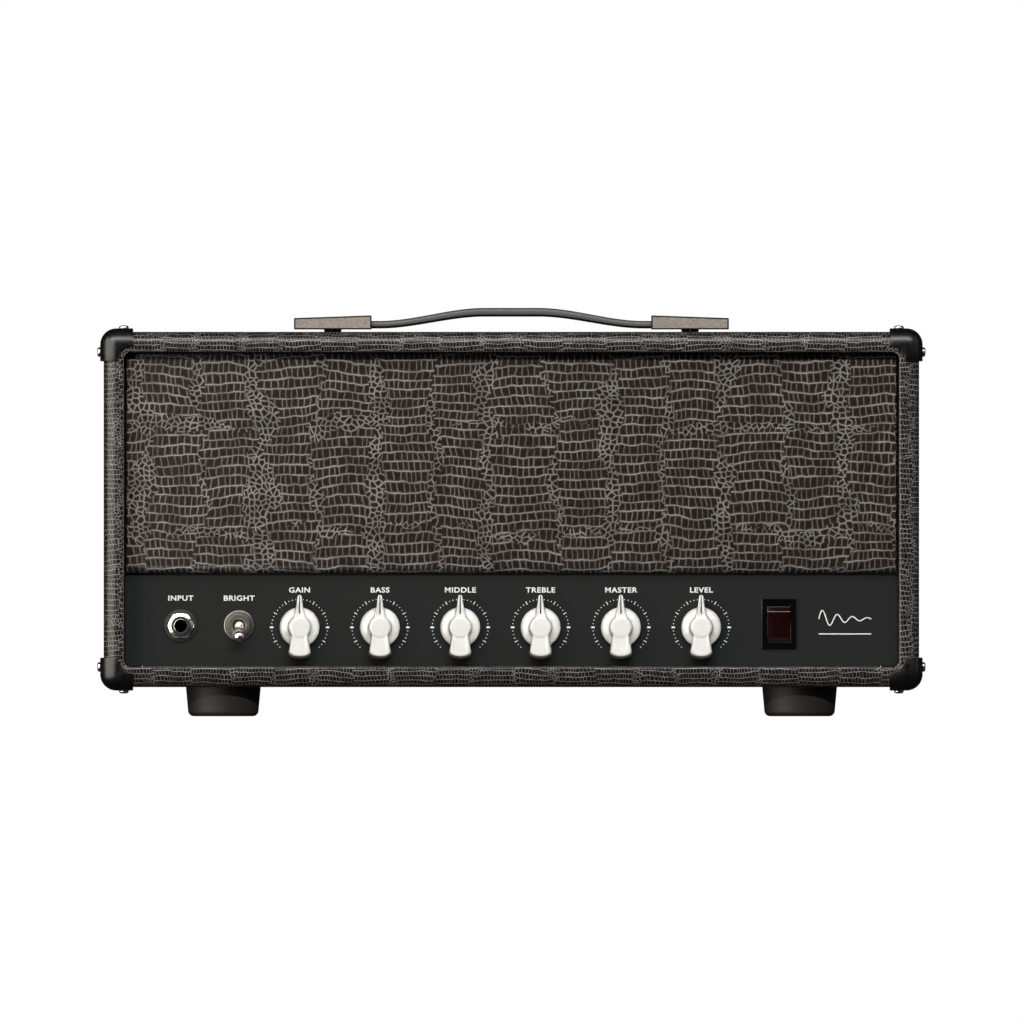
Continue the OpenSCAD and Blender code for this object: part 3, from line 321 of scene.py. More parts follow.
# Each finish is made once, when a piece first asks for it
FINISHES = {
    # Calendered vinyl with a crocodile emboss: small scales on the cabinet, their colour cut to 0.45 of the
    # panel's as a painted shade
    "cabinet vinyl": lambda: crocodile_vinyl("Crocodile vinyl, small scale",
                                             sizes().cabinet_row, 0.95, 8.0, 4.0, 0.45),
    # The same vinyl with large scales on the front panel
    "panel vinyl": lambda: crocodile_vinyl("Crocodile vinyl, large scale", sizes().panel_row,
                                           1.0, 6.0, 0.0, 1.0),
    # Stoved gloss enamel on pressed steel: near black with a soft orange peel
    "enamel": lambda: grained("Gloss black enamel", colours().enamel, 2.2 * MM, 0.3, bump=2e-6,
                              Specular_IOR_Level=0.4),
    # Fine satin powder coat: a slight sparkle of tone and a dull sheen
    "powder": lambda: grained("Satin powder coat", colours().powder, 0.5 * MM, 0.5, swing=0.1,
                              bump=1.2e-5, Specular_IOR_Level=0.12),
    # Screen-printing ink: flat, slightly thick and barely uneven
    "ink": lambda: grained("Screen ink", colours().ink, 0.6 * MM, 0.55, swing=0.04),
    # Compression-moulded phenolic: warm white, glossy, faint flow marks
    "ivory": lambda: grained("Moulded ivory phenolic", colours().ivory, 6 * MM, 0.25, swing=0.03,
                             Subsurface_Weight=0.15, Subsurface_Scale=1.5 * MM,
                             Coat_Weight=0.3),
    # Black paint wiped into a moulded groove
    "line paint": lambda: grained("Groove paint", "0b0b0b", 0.8 * MM, 0.5),
    # Bright nickel on brass: nuts and bushings, with faint polishing haze
    "nickel": lambda: grained("Bright nickel plate", "dddad5", 1.6 * MM, 0.2, swing=0.05,
                              rough_swing=0.08, bump=2e-6, Metallic=1.0),
    # Dull nickel on the switch's dress ring: brushed round, soft reflections
    "satin nickel": lambda: grained("Satin nickel plate", "8d8a84", 0.5 * MM, 0.32,
                                    swing=0.08, bump=4e-6, Metallic=1.0),
    # Zinc-plated screws: cool and slightly cloudy
    "screw": lambda: grained("Zinc-plated steel", "cfd0cf", 1.0 * MM, 0.22, swing=0.1,
                             bump=4e-6, Metallic=1.0),
    # Old plating on the end caps: tarnished grey with tan bloom and dark specks
    "worn nickel": lambda: grained(
        "Worn nickel plate", colours().nickel, 1.4 * MM, 0.42, swing=0.16, bump=1e-5,
        flecks=(("b18a75", 1.5 * MM, 0.56, 0.72), ("5a5551", 0.8 * MM, 0.6, 0.72)),
        Metallic=0.55),
    # Painted shade along the caps' rounded edges and rims: almost black
    "cap edge shade": lambda: grained("Painted cap edge shade", "070707", 0.8 * MM, 0.5, swing=0.2,
                               Specular_IOR_Level=0.2),
    # Moulded thermoplastic rubber: warm dark grey with a soft sheen
    "strap": lambda: grained("Moulded strap rubber", colours().strap, 0.7 * MM, 0.48, swing=0.1,
                             bump=1.5e-5),
    # Painted shade on the strap's top and underside: near black, beside the grey rubber of its sides
    "strap shade": lambda: grained("Painted shade on strap rubber", "0a0a0a", 0.7 * MM, 0.5,
                                  swing=0.1, bump=1.5e-5, Specular_IOR_Level=0.25),
    # Moulded rubber of the feet: dull, brown-black, a little dusty
    "rubber": lambda: grained("Moulded foot rubber", colours().rubber, 1.0 * MM, 0.6, swing=0.18,
                              bump=2e-5, Specular_IOR_Level=0.3),
    # Vulcanised fibre washer: dull black with short fibres
    "fibre": lambda: grained("Vulcanised fibre", "0c0c0c", 0.6 * MM, 0.6, bump=8e-6),
    # Injection-moulded nylon: black and glossy, a trace of texture
    "gloss plastic": lambda: grained("Gloss black nylon", "050505", 1.5 * MM, 0.14,
                                     rough_swing=0.04, bump=1e-6, Specular_IOR_Level=0.4),
    "dull plastic": lambda: grained("Matt black nylon", "101010", 0.5 * MM, 0.5,
                                    bump=8e-6),
    # Dark red polycarbonate: deep colour under a gloss
    "red plastic": lambda: grained("Dark red polycarbonate", colours().rocker, 1.5 * MM, 0.18,
                                   swing=0.15, rough_swing=0.04, bump=1e-6),
    # Painted fibreboard: matt black with a pressed grain
    "fibreboard": lambda: grained("Painted fibreboard", "151515", 0.9 * MM, 0.65,
                                  swing=0.2, bump=3e-5),
    # Birch plywood: pale veneer in plies about 1.4 mm thick
    "plywood": lambda: striped("Birch plywood", "c9a274", "a57b4c", 1.4 * MM, 0.6),
    # Zinc-plated sheet steel: bluish with a fine rolled grain
    "sheet steel": lambda: grained("Zinc-plated sheet", "b4b8ba", 1.2 * MM, 0.35,
                                   stretch=(0.1, 1, 1), bump=3e-6, Metallic=1.0),
    "solder mask": lambda: grained("Green solder mask", "1c5a34", 1.5 * MM, 0.35),
    "film capacitor": lambda: grained("Dipped film capacitor", "c07f2c", 1.5 * MM, 0.3),
    "brass": lambda: grained("Turned brass", "c9a34e", 0.5 * MM, 0.3, Metallic=1.0),
    # Varnished silicon-steel laminations, drawn 0.7 mm thick so that they show
    "laminations": lambda: striped("Varnished laminations", "3a3a3d", "1f1f21",
                                   0.7 * MM, 0.45, axis="Y", Metallic=0.6),
    # Enamelled copper wire in close turns
    "copper wire": lambda: striped("Enamelled copper wire", "b0662c", "6a3516",
                                   0.6 * MM, 0.3, Metallic=0.7),
    "capacitor sleeve": lambda: grained("Shrink sleeve", "33466a", 3 * MM, 0.35),
    "ceramic": lambda: grained("Glazed steatite", "e8e4da", 2 * MM, 0.25, swing=0.05),
    "anode": lambda: grained("Carbonised nickel", "4a4a4e", 0.6 * MM, 0.7),
    # Soft glass: clear, with the faintest grey
    "glass": lambda: grained("Soft glass", "eef4f2", 8 * MM, 0.05, swing=0.01,
                             rough_swing=0.02, Transmission_Weight=1.0),
}
MADE = {}


def finish(name):
    if name not in MADE:
        MADE[name] = FINISHES[name]()
    return MADE[name]


# ---------------------------------------------------------------- shapes

# Corners of a mesh nearer to each other than this are one corner
WELD = 2e-6
# A face is level, or at least a side and no rounded edge, from this squareness on
LEVEL, SIDE = 0.9999, 0.99


def arc(centre, radius, start, end, steps):
    """Points along an arc between two angles in degrees, as (across, up) pairs."""
    turns = [math.radians(start + (end - start) * i / steps) for i in range(steps + 1)]
    return [(centre[0] + radius * math.cos(t), centre[1] + radius * math.sin(t)) for t in turns]


def facing_front(x, y, z):
    """A local frame whose Z points out of the front and whose Y is up."""
    return Matrix.Translation((x, y, z)) @ Matrix.Rotation(math.pi / 2, 4, "X")


def facing_back(x, y, z):
    """A local frame whose Z points out of the back and whose Y is up."""
    return Matrix.Translation((x, y, z)) @ Matrix.Rotation(math.pi, 4, "Z") @ Matrix.Rotation(
        math.pi / 2, 4, "X")


def skin(bm, near, far):
    """Faces between two rings of corners; a ring of one corner closes in a fan."""
    faces = []
    for i in range(max(len(near), len(far))):
        corners = [near[i % len(near)], near[(i + 1) % len(near)],
                   far[(i + 1) % len(far)], far[i % len(far)]]
        corners = list(dict.fromkeys(corners))
        if len(corners) > 2:
            faces.append(bm.faces.new(corners))
    return faces


def revolve(bm, profile, place=Matrix(), steps=64, closed=False):
    """Turn a profile of (radius, height) pairs, listed anticlockwise, about the local Z axis."""
    rings = []
    for radius, height in profile:
        turns = [2 * math.pi * i / steps for i in range(steps if radius > 1e-7 else 1)]
        rings.append([bm.verts.new(place @ Vector((radius * math.cos(t), radius * math.sin(t),
                                                   height))) for t in turns])
    for near, far in zip(rings, rings[1:] + rings[:1] if closed else rings[1:]):
        skin(bm, near, far)


def loft(bm, rings, place=Matrix()):
    """Skin a stack of rings of points, listed anticlockwise, and close its two ends."""
    rows = [[bm.verts.new(place @ Vector(point)) for point in ring] for ring in rings]
    for near, far in zip(rows, rows[1:]):
        skin(bm, near, far)
    bm.faces.new(list(reversed(rows[0])))
    bm.faces.new(rows[-1])


def settle(piece):
    """Replace a piece's mesh by the result of its modifiers."""
    result = bpy.data.meshes.new_from_object(
        piece.evaluated_get(bpy.context.evaluated_depsgraph_get()))
    piece.modifiers.clear()
    piece.data = result


def add_object(name, data):
    """A new object in the scene."""
    item = bpy.data.objects.new(name, data)
    bpy.context.scene.collection.objects.link(item)
    return item


def add_modifier(piece, kind, settings):
    """A new modifier with its settings."""
    modifier = piece.modifiers.new(kind.title(), kind)
    for key, value in settings.items():
        setattr(modifier, key, value)
    return modifier


def new_piece(name, bm, look, sharp=35, **modifiers):
    """A mesh piece with one finish, smooth except across edges sharper than an angle.
    Each modifier is given as TYPE=settings."""
    mesh = bpy.data.meshes.new(name)
    bm.to_mesh(mesh)
    bm.free()
    mesh.materials.append(finish(look))
    piece = add_object(name, mesh)
    for kind, settings in modifiers.items():
        add_modifier(piece, kind, settings)
    if modifiers:
        settle(piece)
    mesh = piece.data
    mesh.polygons.foreach_set("use_smooth", [True] * len(mesh.polygons))
    mesh.set_sharp_from_angle(angle=math.radians(sharp))
    return piece


def dress(piece, *nodes, of=None):
    """Ride on a CAD node's body, and stand for the CAD nodes that it replaces."""
    node = of or nodes[0]
    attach(piece, BODY_OF[node])
    if nodes:
        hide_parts(*nodes)
    return piece


def rounding(width, steps, angle):
    """Settings of a bevel along the edges sharper than an angle in degrees."""
    return {"width": width, "segments": steps, "limit_method": "ANGLE",
            "angle_limit": math.radians(angle)}


def joined(bm):
    """Join the corners that fall in one place."""
    bmesh.ops.remove_doubles(bm, verts=bm.verts, dist=WELD)
    return bm


def copy_of(mesh):
    """A mesh's shape, to be worked on."""
    bm = bmesh.new()
    bm.from_mesh(mesh)
    return bm


def squareness(face):
    """How nearly a face's normal lies along one axis: 1 when it does."""
    return max(abs(part) for part in face.normal)


def soften(node, look, width, steps=2):
    """Replace a CAD node by a copy with every sharp edge rounded, in a finish of its own."""
    bm = joined(copy_of(frame["nodes"][node].data))
    bmesh.ops.dissolve_limit(bm, angle_limit=math.radians(0.5), verts=bm.verts, edges=bm.edges)
    for face in bm.faces:
        face.material_index = 0
    piece = new_piece(node + "_finished", bm, look, BEVEL=rounding(width, steps, 35))
    # Wide level faces are shaded flat, so that the rounding doesn't pull at their light
    wide = 60 * width * width
    for face in piece.data.polygons:
        if face.area > wide and squareness(face) > LEVEL:
            face.use_smooth = False
    return dress(piece, node)


def solids_of(node):
    """Lowest and highest corners of each separate solid in a CAD node."""
    bm = joined(copy_of(frame["nodes"][node].data))
    boxes, seen = [], set()
    for start in bm.verts:
        if start in seen:
            continue
        seen.add(start)
        part = [start]
        for corner in part:
            for edge in corner.link_edges:
                other = edge.other_vert(corner)
                if other not in seen:
                    seen.add(other)
                    part.append(other)
        boxes.append((Vector([min(c.co[k] for c in part) for k in range(3)]),
                      Vector([max(c.co[k] for c in part) for k in range(3)])))
    bm.free()
    return boxes


# ---------------------------------------------------------------- Geometry Nodes

def repeat_tree(name, **inputs):
    """A new Geometry Nodes tree with inputs, each NAME=kind, and the sockets that give them."""
    tree = bpy.data.node_groups.new(name, "GeometryNodeTree")
    tree.interface.new_socket("Geometry", in_out="INPUT", socket_type="NodeSocketGeometry")
    for label, kind in inputs.items():
        tree.interface.new_socket(label, in_out="INPUT", socket_type="NodeSocket" + kind)
    tree.interface.new_socket("Geometry", in_out="OUTPUT", socket_type="NodeSocketGeometry")
    return tree, add_node(tree, "NodeGroupInput").outputs


def close_tree(tree, instances, look):
    """Realise the instances, give them their finish and put them out."""
    real = add_node(tree, "GeometryNodeRealizeInstances", {"Geometry": instances})
    painted = add_node(tree, "GeometryNodeSetMaterial", {"Geometry": real, "Material": look})
    add_node(tree, "NodeGroupOutput", {"Geometry": painted})


def run_tree(name, points, tree, values):
    """Run a tree on a mesh of points, and keep the result as a plain mesh piece."""
    piece = add_object(name, points)
    modifier = add_modifier(piece, "NODES", {"node_group": tree})
    for item in tree.interface.items_tree:
        if item.in_out == "INPUT" and item.name in values:
            modifier[item.identifier] = values[item.name]
    settle(piece)
    piece.data.set_sharp_from_angle(angle=math.radians(35))
    return piece


def scatter(name, template, places, look, seed):
    """A copy of the template at each (point, direction) place, turned about it at random."""
    points = bpy.data.meshes.new(name)
    points.from_pydata([point for point, _ in places], [], [])
    facing = points.attributes.new("facing", "FLOAT_VECTOR", "POINT")
    for row, (_, direction) in zip(facing.data, places):
        row.vector = direction
    tree, given = repeat_tree(name, Template="Object", Scale="Float", Seed="Int",
                              Finish="Material")
    shape = add_node(tree, "GeometryNodeObjectInfo", {"Object": given["Template"]})
    direction = add_node(tree, "GeometryNodeInputNamedAttribute", {"Name": "facing"},
                         data_type="FLOAT_VECTOR")
    turn = add_node(tree, "FunctionNodeRandomValue", {"Min": 0.0, "Max": math.pi,
                                                     "Seed": given["Seed"]})
    aimed = add_node(tree, "FunctionNodeAlignRotationToVector", {"Vector": direction}, axis="Z")
    spin = add_node(tree, "FunctionNodeAxisAngleToRotation", {"Axis": (0, 0, 1), "Angle": turn})
    rotation = add_node(tree, "FunctionNodeRotateRotation", {"Rotation": aimed, "Rotate By": spin},
                        rotation_space="LOCAL")
    copies = add_node(tree, "GeometryNodeInstanceOnPoints", {
        "Points": given["Geometry"], "Instance": shape.outputs["Geometry"],
        "Rotation": rotation, "Scale": given["Scale"]})
    close_tree(tree, copies, given["Finish"])
    piece = run_tree(name, points, tree, {"Template": template, "Scale": 1.0, "Seed": seed,
                                          "Finish": finish(look)})
    bpy.data.objects.remove(template)
    return piece


def pan_head(head_r, head_h, shank_r, shank):
    """A cross-recess pan-head screw standing on the local XY plane."""
    profile = [(0, -shank), (shank_r, -shank), (shank_r, 0), (head_r * 0.98, 0),
               (head_r, 0.12 * head_h), (head_r, 0.32 * head_h)]
    profile += [(head_r * (0.45 + 0.55 * math.cos(t)), head_h * (0.32 + 0.66 * math.sin(t)))
                for t in (0.35, 0.7, 1.05, 1.4)]
    profile += [(0.2 * head_r, head_h), (0, head_h)]
    bm = bmesh.new()
    revolve(bm, profile, steps=32)
    screw = new_piece("screw_template", bm, "screw")
    bm = bmesh.new()
    wide, narrow, top = 0.55 * head_r, 0.11 * head_r, head_h * 1.05
    for swap in (False, True):
        half = (narrow, wide) if swap else (wide, narrow)
        rings = [[(x * half[0] * s, y * half[1] * s, z) for x, y in
                  ((-1, -1), (1, -1), (1, 1), (-1, 1))] for s, z in ((0.7, 0.35 * head_h), (1, top))]
        loft(bm, rings)
    cutter = new_piece("recess_cutter", bm, "screw")
    add_modifier(screw, "BOOLEAN", {"object": cutter, "operation": "DIFFERENCE",
                                    "solver": "EXACT", "use_self": True})
    settle(screw)
    bpy.data.objects.remove(cutter)
    return screw


def screws(node, head_h, seed):
    """Replace a CAD node of screws by cross-recess ones, with their heads facing outwards."""
    places = []
    for low, high in solids_of(node):
        size, middle = high - low, (low + high) / 2
        along = max(range(3), key=lambda k: size[k])
        around = [size[k] for k in range(3) if k != along]
        out = 1 if middle[along] > (CABINET_MIDDLE_Z if along == 2 else 0) else -1
        seat = middle.copy()
        seat[along] = (high if out > 0 else low)[along] - out * head_h
        direction = Vector((0, 0, 0))
        direction[along] = out
        places.append((seat, direction))
    head_r = max(around) / 2
    template = pan_head(head_r, head_h, 0.5 * head_r, size[along] - head_h)
    return dress(scatter(node + "_set", template, places, "screw", seed), node)


# ---------------------------------------------------------------- the pieces

class AMP_OT_cabinet(bpy.types.Operator):
    """Wrap the cabinet in its small-scale vinyl: front lip, rolled edges and back lip"""
    bl_idname = "amp.cabinet"
    bl_label = "Cabinet covering"

    def execute(self, context):
        low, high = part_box("vinyl_covering")
        edge, lip, corner = sizes().edge, sizes().lip, sizes().opening_corner
        panel_gap, inner_reach, steps = 0.6 * MM, 40 * MM, 6
        open_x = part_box("control_panel")[1].x + panel_gap
        inner_front, inner_back = low.y + inner_reach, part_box("back_panel")[0].y
        mid_z, taller = (low.z + high.z) / 2, (high.z - low.z) / 2 - high.x
        # The sheet's profile from inside the front opening, round the wall, to inside the back
        profile = [(inner_front, open_x)]
        profile += [(low.y + lip * (1 - math.sin(t)), open_x + lip * (1 - math.cos(t)))
                    for t in (math.pi / 12 * i for i in range(7))]
        profile += [(low.y + edge * (1 - math.cos(t)), high.x - edge * (1 - math.sin(t)))
                    for t in (math.pi / 20 * i for i in range(11))]
        front_half = list(profile)
        profile += [(high.y + low.y - y, half) for y, half in reversed(front_half[1:])]
        profile.append((inner_back, open_x))

        bm = bmesh.new()
        sheet = bm.loops.layers.uv.new("sheet")
        pale_lip = bm.verts.layers.float.new("pale_lip")
        rings, run, last = [], 0.0, profile[0]
        for number, (y, half) in enumerate(profile):
            # The second and third rows from each end of the profile, on the lip's roundover, are marked to be
            # drawn paler
            worn = float(min(number, len(profile) - 1 - number) in (2, 3))
            run += math.dist((y, half), last)
            last = (y, half)
            bend = half - (high.x - edge)
            radius = max(0.3 * MM, bend) if bend > -0.1 * MM else corner + (half - open_x)
            ring = []
            for quarter, (sx, sz) in enumerate(((-1, 1), (1, 1), (1, -1), (-1, -1))):
                for step in range(steps + 1):
                    part = step / steps
                    turn = math.pi / 2 * (part if quarter % 2 else 1 - part)
                    out_x, out_z = math.sin(turn), math.cos(turn)
                    at = Vector((sx * (half - radius + radius * out_x), y,
                                 mid_z + sz * (half + taller - radius + radius * out_z)))
                    corner_vert = bm.verts.new(at)
                    corner_vert[pale_lip] = worn
                    ring.append((corner_vert, sx * (half - radius + radius * turn), at.z, run))
            rings.append(ring)
        for near, far in zip(rings, rings[1:]):
            faces = skin(bm, [row[0] for row in near], [row[0] for row in far])
            count = len(near)
            for i, face in enumerate(faces):
                straight = i % (steps + 1) == steps
                side = i // (steps + 1) if straight else (0 if i < 2 * (steps + 1) else 2)
                rows = (near[i], near[(i + 1) % count], far[(i + 1) % count], far[i])
                for loop, (_, across, up, along) in zip(face.loops, rows):
                    loop[sheet].uv = ((across, along), (along + 1, up), (across + 2, -along),
                                      (-along + 3, up))[side]
        piece = new_piece("cabinet_covering", bm, "cabinet vinyl", 50, SOLIDIFY={
            "thickness": 0.65 * MM, "offset": -1.0, "use_even_offset": True})
        dress(piece, "vinyl_covering")
        return {"FINISHED"}


class AMP_OT_panel_cover(bpy.types.Operator):
    """Stretch the large-scale vinyl over the front panel, with its round lower edge"""
    bl_idname = "amp.panel_cover"
    bl_label = "Front panel covering"

    def execute(self, context):
        low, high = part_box("front_panel_vinyl")
        lower, other, steps = sizes().panel_edge, 1.2 * MM, 8
        bm = bmesh.new()
        sheet = bm.loops.layers.uv.new("sheet")
        rows = []
        for step in range(-1, steps + 1):
            turn = math.pi / 2 * max(step, 0) / steps
            ring = []
            for sx, top in ((-1, True), (1, True), (1, False), (-1, False)):
                radius = other if top else lower
                y = high.y if step < 0 else low.y + radius * (1 - math.sin(turn))
                x = high.x - other * (1 - math.cos(turn))
                rise = radius * (1 - math.cos(turn))
                z = high.z - rise if top else low.z + rise
                depth = max(0.0, y - low.y - radius)
                across = sx * (high.x - other + other * (math.pi / 2 - turn) + depth)
                roll = radius * (math.pi / 2 - turn) + depth
                up = high.z - radius + roll if top else low.z + radius - roll
                ring.append((bm.verts.new((sx * x, y, z)), across, up))
            rows.append(ring)
        flat = {corner[0]: corner[1:] for ring in rows for corner in ring}
        for near, far in zip(rows, rows[1:]):
            skin(bm, [row[0] for row in far], [row[0] for row in near])
        bm.faces.new([row[0] for row in reversed(rows[-1])])
        bm.faces.new([row[0] for row in rows[0]])
        for face in bm.faces:
            for loop in face.loops:
                loop[sheet].uv = flat[loop.vert]
        bmesh.ops.recalc_face_normals(bm, faces=bm.faces)
        dress(new_piece("front_panel_covering", bm, "panel vinyl", 60), "front_panel_vinyl")
        return {"FINISHED"}


class AMP_OT_corners(bpy.types.Operator):
    """Press the eight steel corners: a ball, three rolled edges and three bitten leaves each"""
    bl_idname = "amp.corners"
    bl_label = "Corner protectors"

    def execute(self, context):
        low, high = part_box("corner_protectors")
        wall = high.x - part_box("vinyl_covering")[1].x
        radius, bite, steps = sizes().edge + wall, sizes().corner_bite, 8
        one_low, one_high = solids_of("corner_protectors")[0]
        spans = [size - radius for size in one_high - one_low]
        middle, centre = (low + high) / 2, (high - low) / 2 - Vector((radius,) * 3)
        bm = bmesh.new()
        for signs in ((x, y, z) for x in (-1, 1) for y in (-1, 1) for z in (-1, 1)):
            flipped = signs[0] * signs[1] * signs[2] < 0

            def corner(direction, shift=(0, 0, 0)):
                return bm.verts.new([middle[k] + signs[k] * (centre[k] - shift[k] + radius
                                                             * direction[k]) for k in range(3)])

            def face(*corners):
                bm.faces.new(list(reversed(corners)) if flipped else corners)

            turns = [math.pi / 2 * i / steps for i in range(steps + 1)]
            for a, b in zip(turns, turns[1:]):
                for c, d in zip(turns, turns[1:]):
                    ball = [(math.sin(p) * math.cos(q), math.sin(p) * math.sin(q), math.cos(p))
                            for p, q in ((a, c), (b, c), (b, d), (a, d))]
                    face(*[corner(way) for way in (ball if a > 0 else ball[:3])])
            for axis in range(3):
                p, q = (axis + 1) % 3, (axis + 2) % 3
                way = [float(k == axis) for k in range(3)]
                run = [spans[axis] * part for part in way]
                roll = [[math.cos(t) * (k == p) + math.sin(t) * (k == q) for k in range(3)]
                        for t in turns]
                for near, far in zip(roll, roll[1:]):
                    face(corner(near), corner(near, run), corner(far, run), corner(far))
                outline = [(0, 0), (spans[p], 0)] + arc((spans[p], spans[q]), bite, 270, 180, 8)
                shifts = []
                for along, across in outline + [(0, spans[q])]:
                    shift = [0.0, 0.0, 0.0]
                    shift[p], shift[q] = along, across
                    shifts.append(shift)
                face(*[corner(way, shift) for shift in shifts])
        piece = new_piece("corner_guards", joined(bm), "enamel", 40, SOLIDIFY={
            "thickness": wall * 0.94, "offset": -1.0, "use_even_offset": True},
            BEVEL=rounding(0.35 * MM, 2, 50))
        dress(piece, "corner_protectors")
        return {"FINISHED"}


class AMP_OT_screws(bpy.types.Operator):
    """Drive the cross-recess screws of the corners, feet, back panel and chassis"""
    bl_idname = "amp.screws"
    bl_label = "Screws"

    def execute(self, context):
        for seed, (node, head) in enumerate((("corner_screws", 1.5), ("foot_screws", 3.0),
                                             ("back_panel_screws", 2.0), ("chassis_bolts", 2.8),
                                             ("transformer_bolts", 2.5), ("handle_bolts", 3.5))):
            screws(node, head * MM, seed)
        return {"FINISHED"}


class AMP_OT_feet(bpy.types.Operator):
    """Mould the four rubber feet, each with a steel washer in its recess"""
    bl_idname = "amp.feet"
    bl_label = "Feet"

    def execute(self, context):
        rubber, washers = bmesh.new(), bmesh.new()
        recess_r, recess_h, hole_r, taper, round_r = 5.5 * MM, 8 * MM, 2.6 * MM, 1.1 * MM, 3 * MM
        for low, high in solids_of("rubber_feet"):
            radius, height = (high.x - low.x) / 2, high.z - low.z
            place = Matrix.Translation(((low.x + high.x) / 2, (low.y + high.y) / 2, low.z))
            base = radius - taper
            profile = [(hole_r, recess_h), (recess_r, recess_h), (recess_r, 0.6 * MM),
                       (recess_r + 0.6 * MM, 0)]
            profile += arc((base - round_r, round_r), round_r, 270, 360, 8)
            profile += [(radius, height), (hole_r, height)]
            revolve(rubber, profile, place, 72, closed=True)
            revolve(washers, [(hole_r, recess_h - 0.9 * MM), (recess_r - 0.4 * MM,
                    recess_h - 0.9 * MM), (recess_r - 0.2 * MM, recess_h - 0.05 * MM),
                    (hole_r, recess_h - 0.05 * MM)], place, 36, closed=True)
        dress(new_piece("feet", rubber, "rubber"), "rubber_feet")
        dress(new_piece("foot_washers", washers, "screw"), of="foot_screws")
        return {"FINISHED"}


class AMP_OT_handle(bpy.types.Operator):
    """Mould the arched strap, with a groove along each edge, and finish its end caps"""
    bl_idname = "amp.handle"
    bl_label = "Handle"

    def execute(self, context):
        low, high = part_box("handle_strap")
        thick, thin, flat, ease_end = 4.5 * MM, 3.9 * MM, 14 * MM, 68 * MM
        top_z, end_z = high.z - thick / 2, low.z + thin / 2
        half_w, rounding, groove_y, groove = high.y, 1.7 * MM, 9.4 * MM, 0.35 * MM
        rings, count = [], 64
        for i in range(count + 1):
            x = low.x + (high.x - low.x) * i / count
            part = min(1.0, max(0.0, (abs(x) - flat) / (ease_end - flat)))
            ease = part * part * (3 - 2 * part)
            z, half_t = top_z + (end_z - top_z) * ease, (thick + (thin - thick) * ease) / 2
            ring = []
            for sy, sz, start in ((1, -1, 270), (1, 1, 0), (-1, 1, 90), (-1, -1, 180)):
                centre = (sy * (half_w - rounding), sz * (half_t - rounding))
                ring += arc(centre, rounding, start, start + 90, 5)
                if (sy, sz) == (1, 1):
                    for side in (1, -1):
                        ring += [(side * (groove_y + side * d * MM), half_t - h) for d, h in
                                 ((0.6, 0), (0.2, groove), (-0.2, groove), (-0.6, 0))]
            rings.append([(x, y, z + up) for y, up in ring])
        bm = bmesh.new()
        loft(bm, rings)
        bmesh.ops.recalc_face_normals(bm, faces=bm.faces)
        strap = dress(new_piece("strap_moulding", bm, "strap", 50), "handle_strap")
        strap.data.materials.append(finish("strap shade"))
        # Faces tilted further down or up than these take the painted shade
        under, over = -0.35, 0.76
        for face in strap.data.polygons:
            face.material_index = int(not under <= face.normal.z <= over)
        self.blacken_edges(soften("handle_end_caps", "worn nickel", 0.7 * MM, 3))
        return {"FINISHED"}

    @staticmethod
    def blacken_edges(caps):
        """Paint near-black shade on the end caps' rounded edges, and on a rim round their front and back faces."""
        rim, least_area = 0.5 * MM, 40 * MM * MM
        caps.data.materials.append(finish("cap edge shade"))
        bm = copy_of(caps.data)
        for face in bm.faces:
            face.material_index = int(squareness(face) < SIDE)
        ends = [face for face in bm.faces if abs(face.normal.y) > SIDE
                and face.calc_area() > least_area]
        for face in bmesh.ops.inset_individual(bm, faces=ends, thickness=rim)["faces"]:
            face.material_index = 1
        bm.to_mesh(caps.data)
        bm.free()


def knob_top(y, full):
    """Height of a knob's grip at a distance up its pointer: it falls towards the tip."""
    reach = max(0.0, (y - 4 * MM) / (12.7 * MM))
    return full * (1 - 0.16 * reach * reach)


